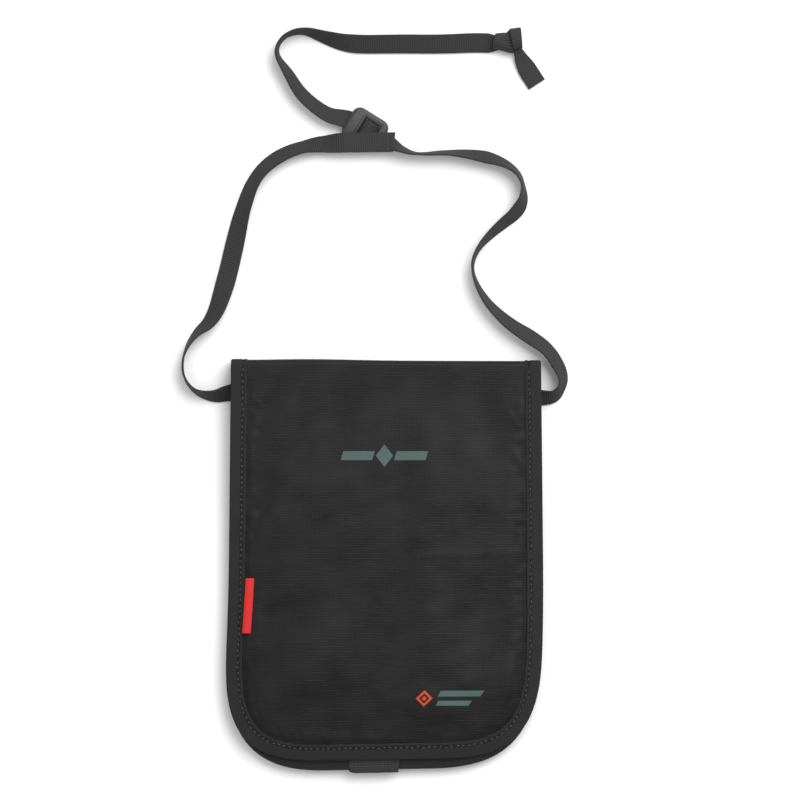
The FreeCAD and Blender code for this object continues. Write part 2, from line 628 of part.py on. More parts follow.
def make_body_binding():
    """The binding round the body, slotted where the neck strap leaves the side seams."""
    body = binding("body_binding", BODY_TOP_EDGE, BODY_BOTTOM, "0", Z_BODY_TOP)
    for side, (start_x, start_y) in ((-1, LEFT_ROUTE[0]), (1, RIGHT_ROUTE[0])):
        slot = new_sketch(body, f"{side} * top_width / 4", role="YZ_Plane")
        half_width = "webbing_width / 2 + small_gap"
        half_plate = "webbing / 2 + small_gap"
        add_rectangle(slot, f"{start_y} - ({half_width})", f"{start_y} + {half_width}",
                      f"{Z_STRAP} - ({half_plate})", f"{Z_STRAP} + {half_plate}")
        doc.recompute()
        before = body.Shape.Volume
        feature = body.newObject("PartDesign::Pocket", f"strap_slot_{'right' if side > 0 else 'left'}")
        feature.Profile = slot
        feature.Reversed = side > 0
        feature.Type = "ThroughAll"
        doc.recompute()
        if body.Shape.Volume >= before:
            raise ValueError("a strap slot cuts nothing")
    stitch_row("body_thread", BODY_TOP_EDGE, BODY_BOTTOM, Z_BODY_TOP)


def make_anchors():
    """The two ends of the neck strap, sewn flat into the side seams."""
    for node, side, (start_x, start_y) in (("strap_anchor_left", -1, LEFT_ROUTE[0]),
                                           ("strap_anchor_right", 1, RIGHT_ROUTE[0])):
        inner = f"{side} * (top_width / 2 - anchor_inside)"
        left, right = sorted((inner, str(start_x)), key=value)
        box(node, left, right, f"{start_y} - webbing_width / 2", f"{start_y} + webbing_width / 2",
            f"{Z_STRAP} - webbing / 2", "webbing")


def route_wire(name, route):
    """Straight runs joined by tangent arcs, each as large as its two runs allow."""
    height = value(Z_STRAP)
    points = [Vector(across, up, height) for across, up in route]
    edges = []
    radii = []
    start = points[0]
    for before, corner, after in zip(points, points[1:], points[2:]):
        back = before - corner
        ahead = after - corner
        reach = ARC_SHARE * min(back.Length, ahead.Length)
        half_turn = (math.pi - back.getAngle(ahead)) / 2
        back.normalize()
        ahead.normalize()
        radius = reach / math.tan(half_turn)
        radii.append(radius)
        middle = back + ahead
        middle.normalize()
        nearest = corner + middle * (radius / math.cos(half_turn) - radius)
        arc_start = corner + back * reach
        arc_end = corner + ahead * reach
        edges.append(Part.LineSegment(start, arc_start).toShape())
        edges.append(Part.Arc(arc_start, nearest, arc_end).toShape())
        start = arc_end
    edges.append(Part.LineSegment(start, points[-1]).toShape())
    print(name, "radii", " ".join(f"{radius:.1f}" for radius in radii))
    return Part.Wire(edges)


def make_strap_tube(node, route):
    """A free stretch of the neck strap, as a round tube as wide as the webbing."""
    wire = route_wire(node, route)
    start = Vector(*route[0], value(Z_STRAP))
    heading = Vector(*route[1], value(Z_STRAP)) - start
    radius = value("webbing_width / 2")
    section = Part.Wire(Part.Circle(start, heading, radius).toShape())
    tube = doc.addObject("Part::Feature", node)
    tube.Shape = wire.makePipeShell([section], True, False)
    expected = math.pi * radius ** 2 * wire.Length
    print(f"{node} length {wire.Length:.1f} volume {tube.Shape.Volume:.0f} expected {expected:.0f}")
    if abs(tube.Shape.Volume - expected) > 0.01 * expected:
        raise ValueError(f"{node} has the wrong volume")
    keep(tube, node)


def ribbon(node, start, turn, profile, thickness):
    """A flat stretch of webbing whose middle follows a profile of (along, height) points."""
    line = [Vector(along, 0, height) for along, height in profile]
    normals = []
    for index, point in enumerate(line):
        ahead = line[min(index + 1, len(line) - 1)] - line[max(index - 1, 0)]
        normals.append(Vector(-ahead.z, 0, ahead.x).normalize())
    upper = [point + normal * (thickness / 2) for point, normal in zip(line, normals)]
    lower = [point - normal * (thickness / 2) for point, normal in zip(line, normals)]
    half = value("webbing_width / 2")
    outline = [point - Vector(0, half, 0) for point in upper + lower[::-1]]
    face = Part.Face(Part.makePolygon(outline + outline[:1]))
    piece = doc.addObject("Part::Feature", node)
    piece.Shape = face.extrude(Vector(0, 2 * half, 0))
    piece.Placement = Placement(Vector(start[0], start[1], 0), Rotation(Vector(0, 0, 1), turn))
    keep(piece, node)


def make_adjuster():
    """The strap adjuster: a plate with two windows. The strap comes up through one, over its bar."""
    start = Vector(*RIGHT_ROUTE[-1], 0)
    end = Vector(*TAIL_ROUTE[0], 0)
    ahead = end - start
    turn = math.degrees(math.atan2(ahead.y, ahead.x))
    half = "adjuster_length / 2"
    half_window = "webbing_width / 2 + 2 * joint_gap"
    low = "floor_gap + webbing + 2 * joint_gap"
    body = new_body("strap_adjuster")
    plan = new_sketch(body, low)
    add_rectangle(plan, f"-{half}", half, "-adjuster_width / 2", "adjuster_width / 2")
    pad(body, plan, "adjuster_plate")
    round_edges(body, "adjuster_corner", upright_only=True)
    windows = new_sketch(body, low)
    for left, right in ((f"adjuster_rail - {half}", "-adjuster_bar / 2"),
                        ("adjuster_bar / 2", f"{half} - adjuster_rail")):
        add_rectangle(windows, left, right, f"-({half_window})", half_window)
    pocket(body, windows)
    middle = start + ahead.normalize() * ADJUSTER_ALONG
    body.Placement = Placement(middle, Rotation(Vector(0, 0, 1), turn + ADJUSTER_TURN))

    webbing = value("webbing")
    gap = value("joint_gap")
    floor_height = value("floor_gap") + webbing / 2 + gap / 2
    bar_height = value(f"{low} + adjuster_plate") + webbing / 2 + gap
    first_window = ADJUSTER_ALONG - value(f"{half} - adjuster_rail")
    bar_start = ADJUSTER_ALONG - value("adjuster_bar / 2")
    length = (end - start).Length
    tube_height = value(Z_STRAP)
    profile = [(0, tube_height), (first_window / 2, floor_height), (first_window + gap, floor_height),
               (bar_start - gap, bar_height), (length - webbing, bar_height), (length, tube_height)]
    ribbon("strap_threaded", start, turn, profile, webbing)
    return bar_height + webbing / 2 + gap


def make_sewn_end(clear_height):
    """The fixed strap's doubled end, sewn down over the adjuster, and its row of stitches."""
    start = LEFT_ROUTE[-1]
    thickness = value("sewn_plate")
    height = clear_height + thickness / 2
    length = SEWN_END_X - start[0]
    profile = [(0, value(Z_STRAP)), (SEWN_RISE, height), (length, height)]
    ribbon("strap_sewn_end", start, 0.0, profile, thickness)
    stitches = doc.addObject("Part::Box", "sewn_end_thread")
    stitches.setExpression("Length", formula("thread"))
    stitches.setExpression("Width", formula("webbing_width - 2 * thread"))
    stitches.setExpression("Height", formula("thread_plate"))
    stitch_low = start[1] - value("webbing_width / 2 - thread")
    stitches.Placement.Base = Vector(start[0] + SEWN_RISE + thickness, stitch_low, height + thickness / 2)
    keep(stitches, "sewn_end_thread")


def make_knot():
    """The end knot that stops the strap slipping through its adjuster, and the webbing past it."""
    body = new_body("end_knot")
    sketch = new_sketch(body, "floor_gap")
    add_rectangle(sketch, "-knot_length / 2", "knot_length / 2", "-knot_width / 2", "knot_width / 2")
    pad(body, sketch, "knot_tall")
    round_edges(body, "knot_round", upright_only=False)
    body.Placement = Placement(KNOT_CENTRE, Rotation())
    tail = doc.addObject("Part::Box", "knot_tail")
    tail.setExpression("Length", formula("tail_length"))
    tail.setExpression("Width", formula("webbing_width"))
    tail.setExpression("Height", formula("webbing"))
    turn = Rotation(Vector(0, 0, 1), KNOT_TAIL_TURN)
    root = Vector(value("knot_width / 2 - webbing"), -value("webbing_width / 2"), value("floor_gap + webbing"))
    tail.Placement = Placement(KNOT_CENTRE + turn.multVec(root), turn)
    keep(tail, "knot_tail")


def check_and_write():
    """Stop on any failed object or shape, then write one file for each piece."""
    doc.recompute()
    for piece in doc.Objects:
        if {"Invalid", "Error"} & set(piece.State):
            raise ValueError(f"{piece.Label} failed: {piece.State}")
    for piece in parts:
        if piece.Shape.isNull() or not piece.Shape.isValid() or piece.Shape.Volume <= 0:
            raise ValueError(f"{piece.Label} has no valid shape")
    os.makedirs("parts", exist_ok=True)
    for piece in parts:
        piece.Shape.exportStep(f"parts/{piece.Label}.step")
        extent = piece.Shape.BoundBox
        heights = f"z {extent.ZMin:6.2f} to {extent.ZMax:6.2f}"
        print(f"{piece.Label:20s} volume {piece.Shape.Volume:9.1f}  {heights}")
    print(len(parts), "pieces")


make_back()
make_card_slots()
make_front()
make_zip()
make_pull(make_slider())
make_patches()
make_body_binding()
make_top_fold()
make_anchors()
make_flap()
make_label()
make_marks()
make_strap_tube("neck_strap_left", LEFT_ROUTE)
make_strap_tube("neck_strap_right", RIGHT_ROUTE)
make_strap_tube("neck_strap_tail", TAIL_ROUTE)
make_sewn_end(make_adjuster())
make_knot()
check_and_write()
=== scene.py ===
# %% [markdown]
# # A neck pouch wallet
# A flat cloth pouch that hangs on a ribbed strap round the neck. One flap folds over its top edge and covers
# the front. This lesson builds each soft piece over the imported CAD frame: first the camera and the strap, then
# the cloth, its bindings and stitches, and last what the flap hides.

# %% Load the frame
import math

import bpy
import numpy as np
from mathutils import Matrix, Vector


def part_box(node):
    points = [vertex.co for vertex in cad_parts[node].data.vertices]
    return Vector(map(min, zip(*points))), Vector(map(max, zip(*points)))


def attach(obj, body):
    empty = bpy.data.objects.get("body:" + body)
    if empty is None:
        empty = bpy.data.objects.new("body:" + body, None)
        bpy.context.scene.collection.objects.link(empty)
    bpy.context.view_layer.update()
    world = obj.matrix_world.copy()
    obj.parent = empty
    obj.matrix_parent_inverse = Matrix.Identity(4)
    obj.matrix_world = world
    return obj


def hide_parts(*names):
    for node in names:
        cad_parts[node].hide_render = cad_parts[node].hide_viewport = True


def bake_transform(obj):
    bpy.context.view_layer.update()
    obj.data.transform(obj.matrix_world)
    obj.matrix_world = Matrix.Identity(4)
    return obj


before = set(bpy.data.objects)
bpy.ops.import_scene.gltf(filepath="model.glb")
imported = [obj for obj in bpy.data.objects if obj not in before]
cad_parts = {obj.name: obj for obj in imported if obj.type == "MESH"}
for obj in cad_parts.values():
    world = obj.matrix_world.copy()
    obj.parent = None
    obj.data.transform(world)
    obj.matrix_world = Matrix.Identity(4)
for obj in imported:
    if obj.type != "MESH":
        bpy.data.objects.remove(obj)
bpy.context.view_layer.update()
MM = 0.001

# %% [markdown]
# ## Camera, table and light
# The pouch lies on a white table and is seen from straight above through a long lens, which keeps its edges
# parallel. One large soft lamp stands above and to the right, so the cloth's slopes that face it look paler and a
# soft shadow falls down and to the left. A pale sky and a weak lamp on the left fill the rest.

# %% Camera, table and lamps
VIEW_CENTRE = (6.24 * MM, 73.6 * MM)
VIEW_WIDTH = 357.0 * MM
CAMERA_HEIGHT = 2.0
CLOTH_HEIGHT = 10.0 * MM

scene = bpy.context.scene
scene.view_settings.view_transform = "Standard"
camera_data = bpy.data.cameras.new("camera")
camera_data.sensor_width = 36.0
camera_data.lens = 36.0 * (CAMERA_HEIGHT - CLOTH_HEIGHT) / VIEW_WIDTH
camera = bpy.data.objects.new("camera", camera_data)
camera.location = (*VIEW_CENTRE, CAMERA_HEIGHT)
scene.collection.objects.link(camera)
scene.camera = camera


def add_lamp(name, place, target, size, power):
    """A square soft lamp at a place, turned so that it shines at its target."""
    data = bpy.data.lights.new(name, "AREA")
    data.size = size
    data.energy = power
    lamp = bpy.data.objects.new(name, data)
    lamp.location = place
    aim = Vector(target) - lamp.location
    lamp.rotation_euler = aim.to_track_quat("-Z", "Y").to_euler()
    scene.collection.objects.link(lamp)


add_lamp("key_lamp", (0.70, 1.00, 1.55), (0.0, 0.05, 0.0), 1.4, 38.0)
add_lamp("fill_lamp", (-1.0, 0.3, 1.9), (0.0, 0.05, 0.0), 1.2, 4.5)

world = bpy.data.worlds.new("pale_room")
world.use_nodes = True
world.node_tree.nodes["Background"].inputs["Color"].default_value = (1.0, 1.0, 1.0, 1.0)
world.node_tree.nodes["Background"].inputs["Strength"].default_value = 0.62
scene.world = world
print("lens", round(camera_data.lens, 1), "mm")

# %% [markdown]
# ## Shader maths as Python
# A pattern such as a weave is a formula of the place on the surface. The class below wraps one shader socket so
# that the formula is written with Python's own signs; each sign adds its Math node. Any other node comes from
# `node`, which takes the node's type, its settings, and then the values or links of its sockets.


# %% The socket class
class Socket:
    """A shader socket that Python's arithmetic signs work on."""

    def __init__(self, tree, socket=None):
        self.tree = tree
        self.socket = socket

    def node(self, kind, settings=(), inputs=(), output=0):
        """Adds a node: its type, then its settings, then the values or links of its sockets."""
        made = self.tree.nodes.new(kind)
        for key, setting in dict(settings).items():
            setattr(made, key, setting)
        for key, given in dict(inputs).items():
            if isinstance(given, Socket):
                self.tree.links.new(given.socket, made.inputs[key])
            else:
                made.inputs[key].default_value = given
        return Socket(self.tree, made.outputs[output] if len(made.outputs) else None)

    def maths(self, operation, *given):
        return self.node("ShaderNodeMath", {"operation": operation}, dict(enumerate(given)))

    def __add__(self, other):
        return self.maths("ADD", self, other)

    def __mul__(self, other):
        return self.maths("MULTIPLY", self, other)

    def __sub__(self, other):
        return self.maths("SUBTRACT", self, other)

    def __rsub__(self, other):
        return self.maths("SUBTRACT", other, self)

    def __abs__(self):
        return self.maths("ABSOLUTE", self)

    def __truediv__(self, other):
        return self.maths("DIVIDE", self, other)

    __radd__ = __add__
    __rmul__ = __mul__

    def waves(self, pitch):
        """A wave from 0 to 1 that repeats once in each pitch."""
        return self.maths("SINE", self * (2 * math.pi / pitch)) * 0.5 + 0.5

    def ridge(self, pitch, share):
        """1 on a thin line once in each pitch, falling to 0 at a share of the pitch beside it."""
        return (1.0 - abs(self.maths("FRACT", self / pitch) - 0.5) / share).clamp()

    def clamp(self):
        return self.node("ShaderNodeClamp", {}, {0: self})

    def blend(self, low, high):
        """A colour between two, by this value."""
        return self.node("ShaderNodeMix", {"data_type": "RGBA"}, {0: self, 6: low, 7: high}, 2)

    def bump(self, height_mm, strength=1.0):
        """A normal from this value as a height, whose full scale is height_mm."""
        return self.node("ShaderNodeBump", {}, {"Height": self, "Distance": height_mm * MM,
                                                "Strength": strength})


def srgb(red, green, blue):
    """A colour as a screen shows it, 0 to 255, turned into linear light."""
    share = np.array([red, green, blue]) / 255
    linear = np.where(share <= 0.04045, share / 12.92, ((share + 0.055) / 1.055) ** 2.4)
    return (*linear.tolist(), 1.0)


def shades(tone, darker, paler):
    """Two linear colours round a tone, a few steps of 255 below it and above it."""
    return srgb(*[max(3, t - darker) for t in tone]), srgb(*[min(255, t + paler) for t in tone])


def finish(name, look):
    """A material: look() is given an empty socket and returns the shader's sockets by name."""
    material = bpy.data.materials.new(name)
    material.use_nodes = True
    tree = material.node_tree
    tree.nodes.clear()
    start = Socket(tree)
    shader = start.node("ShaderNodeBsdfPrincipled", {}, look(start))
    start.node("ShaderNodeOutputMaterial", {}, {"Surface": shader})
    return material


def surface_place(start):
    """The piece's own map, in millimetres across and along the cloth."""
    place = start.node("ShaderNodeUVMap", {"uv_map": "UVMap"})
    across = start.node("ShaderNodeSeparateXYZ", {}, {0: place}, 0)
    along = start.node("ShaderNodeSeparateXYZ", {}, {0: place}, 1)
    return across, along


def noise(start, size_mm, detail=2.0):
    """Smooth noise from 0 to 1 whose lumps are about size_mm wide, by Object coordinates."""
    place = start.node("ShaderNodeTexCoord", {}, {}, 3)
    return start.node("ShaderNodeTexNoise", {}, {"Vector": place, "Scale": 1.0 / (size_mm * MM),
                                                 "Detail": detail})


# %% [markdown]
# ## Finishes
# The shell is a coated ripstop: a fine plain weave with a thicker thread every millimetre or so each way, which
# shows as a faint grid. The coating gives it a slight sheen. The binding is a matt twill tape, the strap a ribbed
# webbing. Each finish follows the cloth's own map in millimetres, so the pattern keeps its real scale.


# %% Cloth finishes
RIPSTOP_PITCH = 1.15
STITCH_PITCH = 2.5
STITCH_INSET = 5.4


def ripstop_look(tone):
    """A look: a grid of thicker threads over a fine weave, broken into short streaks along the weft, with broad
    soft changes in the coating."""
    def look(start):
        across, along = surface_place(start)
        uneven = noise(start, 0.9) * 0.12
        stretched = start.node("ShaderNodeCombineXYZ", {}, {0: across * 0.14, 1: along * 1.3})
        streak = start.node("ShaderNodeTexNoise", {}, {"Vector": stretched, "Scale": 1.0, "Detail": 2.0})
        rows = (along + uneven).ridge(RIPSTOP_PITCH, 0.2) * (streak * 4.5 - 1.7).clamp()
        grid = (across + uneven).ridge(RIPSTOP_PITCH, 0.16) * 0.45 + rows
        weave = across.waves(0.42) * along.waves(0.42)
        cloud = noise(start, 15.0, 1.0)
        fleck = noise(start, 0.5, 3.0)
        paler = (grid * 0.46 + weave * 0.12 + fleck * 0.30 + cloud * 0.60 - 0.22).clamp()
        return {"Base Color": paler.blend(*shades(tone, 10, 22)),
                "Roughness": 0.40 + cloud * 0.14 + grid * 0.05,
                "Specular IOR Level": 0.18,
                "Normal": (grid * 0.7 + weave * 0.25 + fleck * 0.35).bump(0.09, 0.7)}
    return look


def tape_look(tone, rib=0.55, sewn_at=0.0):
    """A look: a fine twill, whose ribs run aslant across the tape. If it is sewn, the cloth dips to a needle hole
    between every two stitches, at a distance in from the folded edge, and painted shade darkens each hole and the
    dipped stitch line."""
    def look(start):
        across, along = surface_place(start)
        twill = (across + along * 0.6).waves(rib)
        fleck = noise(start, 0.45, 3.0)
        cloud = noise(start, 9.0)
        paler = (twill * 0.3 + fleck * 0.5 + cloud * 0.2).clamp()
        height = twill * 0.5 + fleck * 0.6
        if sewn_at:
            wander = (noise(start, 2.2) - 0.5) * 1.1
            line = (1.0 - abs(abs(across) - sewn_at + wander) / 0.85).clamp()
            hole_dip_and_shade = line * (along + wander).ridge(STITCH_PITCH, 0.34)
            # painted shade: the needle holes and the stitch line are darkened in the colour, as shade in their
            # dips
            paler = (paler - hole_dip_and_shade * 2.4 - line * 0.35).clamp()
            height = height - hole_dip_and_shade * 3.0 - line * 0.8
        return {"Base Color": paler.blend(*shades(tone, 12, 12)),
                "Roughness": 0.66 + fleck * 0.15,
                "Specular IOR Level": 0.22,
                "Normal": height.bump(0.08, 0.7)}
    return look


def webbing_look(tone):
    """A look: cross ribs once a millimetre, with lighter flecks where single yarns catch the light."""
    def look(start):
        across, along = surface_place(start)
        yarn = noise(start, 0.35, 3.0)
        rib = (along + yarn * 0.25).waves(1.0)
        side = (across + along * 0.3).waves(0.62)
        paler = (rib * 0.45 + side * 0.15 + yarn * 0.4).clamp()
        return {"Base Color": paler.blend(*shades(tone, 18, 12)),
                "Roughness": 0.66 + yarn * 0.2,
                "Specular IOR Level": 0.25,
                "Normal": (rib * 0.6 + side * 0.25 + yarn * 0.4).bump(0.10, 0.8)}
    return look


FINISH = {
    "shell_cloth": finish("shell_cloth", ripstop_look((17, 17, 18))),
    "lining_cloth": finish("lining_cloth", ripstop_look((84, 87, 90))),
    "binding_tape": finish("binding_tape", tape_look((30, 30, 30), sewn_at=STITCH_INSET)),
    "zip_tape": finish("zip_tape", tape_look((30, 30, 31), 0.8)),
    "webbing": finish("webbing", webbing_look((46, 46, 47))),
    "label_cloth": finish("label_cloth", tape_look((196, 42, 36), 0.5)),
}
print(len(FINISH), "cloth finishes")


# %% [markdown]
# The smaller finishes: polyester thread, screen printed ink, the nap of the hook and loop patches, the crinkled
# foil of the shield, moulded plastic, painted metal and a clear film.


# %% Small finishes
def thread_look(start):
    across, along = surface_place(start)
    twist = (across + along).waves(0.35)
    fleck = noise(start, 0.8)
    return {"Base Color": (twist * 0.6 + fleck * 0.4).blend(srgb(22, 22, 23), srgb(82, 82, 82)),
            "Roughness": 0.5 + twist * 0.2, "Specular IOR Level": 0.35,
            "Normal": twist.bump(0.05, 0.8)}


def ink_look(tone):
    def look(start):
        grain = noise(start, 0.4, 3.0)
        cloud = noise(start, 5.0)
        return {"Base Color": (grain * 0.7 + cloud * 0.3).blend(*shades(tone, 16, 12)),
                "Roughness": 0.5 + grain * 0.2, "Specular IOR Level": 0.3,
                "Normal": grain.bump(0.03, 0.6)}
    return look


def nap_look(start):
    loops = start.node("ShaderNodeTexVoronoi", {}, {"Vector": start.node("ShaderNodeTexCoord", {}, {}, 3),
                                                    "Scale": 1700.0})
    fleck = noise(start, 0.5, 4.0)
    return {"Base Color": (loops * 0.7 + fleck * 0.3).clamp().blend(srgb(22, 22, 22), srgb(62, 62, 63)),
            "Roughness": 0.9, "Specular IOR Level": 0.15, "Sheen Weight": 0.3,
            "Normal": (loops + fleck * 0.6).bump(0.3, 0.9)}


def foil_look(start):
    crinkle = noise(start, 3.0, 4.0)
    return {"Base Color": crinkle.blend(srgb(150, 152, 155), srgb(190, 192, 194)),
            "Metallic": 0.9, "Roughness": 0.3 + crinkle * 0.2, "Normal": crinkle.bump(0.3, 0.7)}


def plastic_look(start):
    grain = noise(start, 0.3, 3.0)
    cloud = noise(start, 4.0)
    return {"Base Color": (grain * 0.5 + cloud * 0.5).blend(srgb(44, 44, 46), srgb(60, 60, 62)),
            "Roughness": 0.42 + grain * 0.14, "Specular IOR Level": 0.4,
            "Normal": grain.bump(0.03, 0.5)}


def metal_look(start):
    grain = noise(start, 0.3, 3.0)
    wear = noise(start, 2.2)
    return {"Base Color": wear.blend(srgb(34, 34, 36), srgb(52, 52, 55)), "Metallic": 0.75,
            "Roughness": 0.3 + grain * 0.15, "Normal": grain.bump(0.02, 0.5)}


def film_look(start):
    haze = noise(start, 14.0)
    scratch = noise(start, 0.7, 3.0)
    return {"Base Color": haze.blend(srgb(205, 212, 216), srgb(228, 232, 234)),
            "Alpha": 0.07 + haze * 0.08, "Roughness": 0.12 + scratch * 0.1,
            "Normal": haze.bump(0.5, 0.4)}


def table_look(start):
    cloud = noise(start, 300.0)
    return {"Base Color": cloud.blend((0.90, 0.90, 0.90, 1.0), (0.93, 0.93, 0.93, 1.0)),
            "Roughness": 0.9, "Specular IOR Level": 0.1}


FINISH.update({
    "thread": finish("thread", thread_look),
    "print_ink": finish("print_ink", ink_look((66, 88, 82))),
    "orange_ink": finish("orange_ink", ink_look((176, 66, 36))),
    "hook_and_loop": finish("hook_and_loop", nap_look),
    "shield_foil": finish("shield_foil", foil_look),
    "buckle_plastic": finish("buckle_plastic", plastic_look),
    "zip_teeth": finish("zip_teeth", plastic_look),
    "slider_metal": finish("slider_metal", metal_look),
    "window_film": finish("window_film", film_look),
})
print(len(FINISH), "finishes")


# %% [markdown]
# ## From a formula to a mesh
# Every new piece is a grid of points worked out with numpy, or a profile carried along a path. A sheet gets its
# thickness by a second grid behind the first and a rim that joins the two, so that it is a closed solid.


# %% Grids and closed sheets
def grid_faces(rows, columns, wrap_rows=False, wrap_columns=False):
    """Four-sided faces between neighbours of a rows by columns grid; a wrapped side closes on itself."""
    row, column = np.meshgrid(np.arange(rows if wrap_rows else rows - 1),
                              np.arange(columns if wrap_columns else columns - 1), indexing="ij")
    next_row = (row + 1) % rows
    next_column = (column + 1) % columns
    return np.stack([row * columns + column, row * columns + next_column,
                     next_row * columns + next_column, next_row * columns + column], -1).reshape(-1, 4)


def grid_normals(points):
    """Unit normals of a grid of points: the cross product of its two directions."""
    across = np.gradient(points, axis=1)
    along = np.gradient(points, axis=0)
    return unit(np.cross(np.gradient(points, axis=1), np.gradient(points, axis=0)))


def closed_sheet(front, thickness):
    """The front grid, the same grid moved back along its normals by the thickness, and a rim."""
    rows, columns = front.shape[:2]
    back = front - grid_normals(front) * thickness
    faces = grid_faces(rows, columns)
    count = rows * columns
    index = np.arange(count).reshape(rows, columns)
    loop = np.concatenate([index[0, :-1], index[:-1, -1], index[-1, :0:-1], index[:0:-1, 0]])
    after = np.roll(loop, -1)
    rim = np.stack([loop + count, after + count, after, loop], -1)
    points = np.concatenate([front.reshape(-1, 3), back.reshape(-1, 3)])
    return points, np.concatenate([faces, faces[:, ::-1] + count, rim])


def swept(rings, closed=False):
    """A profile's rings joined along a path, with a flat cap at each end unless the path is closed."""
    count, around = rings.shape[:2]
    faces = grid_faces(count, around, wrap_rows=closed, wrap_columns=True).tolist()
    if not closed:
        faces.append(list(range(around))[::-1])
        faces.append(list(range((count - 1) * around, count * around)))
    return rings.reshape(-1, 3), faces


def add_piece(name, shape, body, finish_name, stands_for=(), surface=None, sharp=40.0, slot=None):
    """A mesh piece from points in millimetres, with its own map, finish and body."""
    points, faces = shape
    mesh = bpy.data.meshes.new(name)
    mesh.from_pydata((np.asarray(points, float) * MM).tolist(), [], [list(f) for f in faces])
    piece = bpy.data.objects.new(name, mesh)
    scene.collection.objects.link(piece)
    if surface is None:
        surface = np.asarray(points, float)[:, :2]
    corner_vertex = np.zeros(len(mesh.loops), int)
    mesh.loops.foreach_get("vertex_index", corner_vertex)
    mesh.uv_layers.new(name="UVMap").data.foreach_set("uv", np.asarray(surface, float)[corner_vertex].ravel())
    mesh.shade_smooth()
    mesh.set_sharp_from_angle(angle=math.radians(sharp))
    mesh.materials.append(FINISH[finish_name])
    if isinstance(body, str):
        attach(piece, body)
    if stands_for:
        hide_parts(*([stands_for] if isinstance(stands_for, str) else stands_for))
    return piece


def smooth_step(share):
    """0 up to 0, 1 from 1 on, and a smooth S between."""
    share = np.clip(share, 0, 1)
    return share * share * (3 - 2 * share)


def signed_power(value, exponent):
    """The value's size raised to a power, with its sign kept."""
    return np.sign(value) * np.abs(value) ** exponent


def unit(vectors):
    return vectors / np.maximum(np.linalg.norm(vectors, axis=-1, keepdims=True), 1e-9)


def length_along(path):
    """Distance along a line from its start to each of its points."""
    return np.r_[0, np.cumsum(np.linalg.norm(np.diff(path, axis=0), axis=1))]


def read_at(steps, along, values):
    """The values of a line's points, read at other distances along it."""
    return np.stack([np.interp(steps, along, values[:, axis]) for axis in range(values.shape[1])], 1)


def even_line(points, count):
    """The same line with its points at even steps."""
    along = length_along(points)
    return read_at(np.linspace(0, along[-1], count), along, points)


def ahead_along(path, closed=False):
    """Unit direction of a path at each of its points."""
    return unit(np.roll(path, -1, 0) - np.roll(path, 1, 0) if closed else np.gradient(path, axis=0))


# %% [markdown]
# ## The table
# A plain sheet, far larger than the pouch, marked as part of the stage.

# %% Table
table_size = 3000.0
corner = np.array([[-1, -1], [1, -1], [1, 1], [-1, 1]]) * table_size
FINISH["table"] = finish("table", table_look)
table = bpy.data.objects.new("table", bpy.data.meshes.new("table"))
table.data.from_pydata([(x * MM, y * MM, -0.0001) for x, y in corner.tolist()], [], [(0, 1, 2, 3)])
table.data.materials.append(FINISH["table"])
scene.collection.objects.link(table)
print("table", 2 * table_size * MM, "m wide")

# %% [markdown]
# ## The neck strap
# One side of the strap is fixed: it leaves the left seam and ends sewn down at the adjuster. The other side
# leaves the right seam, passes through the adjuster and ends in a stop knot. Flat webbing can't bend in its own
# plane, so wherever it turns on the table it rolls up on to its edge, and it lies flat again on the straights.
# Each route is one smooth NURBS line through control points; every point also has a roll in degrees, 0 flat and
# 90 on edge, which sets how high the middle of the webbing lies.


# %% Routes of the strap
WEBBING_WIDTH = 8.8
WEBBING = 1.1
TABLE_GAP = 0.12


def rolled_height(roll):
    """Height of the middle of a webbing that touches the table: half its width times the sine of its roll, plus
    half its thickness times the cosine."""
    turn = np.radians(roll)
    return TABLE_GAP + WEBBING_WIDTH / 2 * abs(math.sin(turn)) + WEBBING / 2 * abs(math.cos(turn))


# across, up and roll, in millimetres and degrees
LEFT_ROUTE = [(-70.9, 76.8, 35), (-77.4, 74.9, 58), (-86.1, 77.2, 80), (-90.9, 84.0, 88), (-91.2, 93.0, 88),
              (-86.2, 102.9, 72), (-77.3, 109.3, 42), (-71.8, 126.2, 10), (-68.0, 142.4, 14),
              (-64.3, 158.9, 39), (-58.8, 173.6, 50), (-49.5, 182.2, 46), (-37.5, 187.3, 52),
              (-29.1, 188.1, 32)]
RIGHT_ROUTE = [(70.7, 74.5, -42), (75.4, 75.0, -54), (78.9, 79.1, -70), (79.4, 83.2, -62), (77.9, 87.9, -52),
               (72.9, 96.1, -50), (64.7, 101.8, -43), (54.5, 108.0, -54), (43.8, 118.6, -70),
               (37.9, 131.7, -86), (40.4, 140.9, -80), (48.6, 149.7, -65), (61.0, 159.4, -50),
               (62.0, 170.0, -82), (57.5, 177.7, -72), (45.6, 182.6, -50), (28.0, 184.6, -74),
               (13.1, 183.3, -84), (5.2, 186.6, -66)]
TAIL_ROUTE = [(-19.2, 199.9, -30), (-26.5, 201.0, -42), (-38.0, 210.0, -50), (-43.9, 220.3, -62),
              (-48.9, 227.4, -78), (-48.8, 232.3, -86), (-45.0, 237.1, -84), (-37.2, 239.3, -76),
              (-27.5, 236.0, -56), (-16.1, 232.8, -24), (6.2, 233.2, -20), (24.5, 233.0, -18),
              (40.0, 233.8, -12), (49.5, 233.4, -10)]
ADJUSTER_MIDDLE = np.array([-9.4, 194.6])
ADJUSTER_TURN = math.radians(148.1)
# along the adjuster from its middle, height and roll, as the webbing threads it
THREADED = [(-10.2, 2.6, -24), (-6.2, 1.0, -4), (-3.2, 4.6, 0), (0.6, 5.2, 0), (4.0, 1.3, 0), (8.0, 2.0, -14)]

adjuster_ahead = np.array([math.cos(ADJUSTER_TURN), math.sin(ADJUSTER_TURN)])
threaded_points = [(*(ADJUSTER_MIDDLE + along * adjuster_ahead), height, roll)
                   for along, height, roll in THREADED]


def on_table(route):
    """Route points with the height that their roll gives them."""
    return [(across, up, rolled_height(roll), roll) for across, up, roll in route]


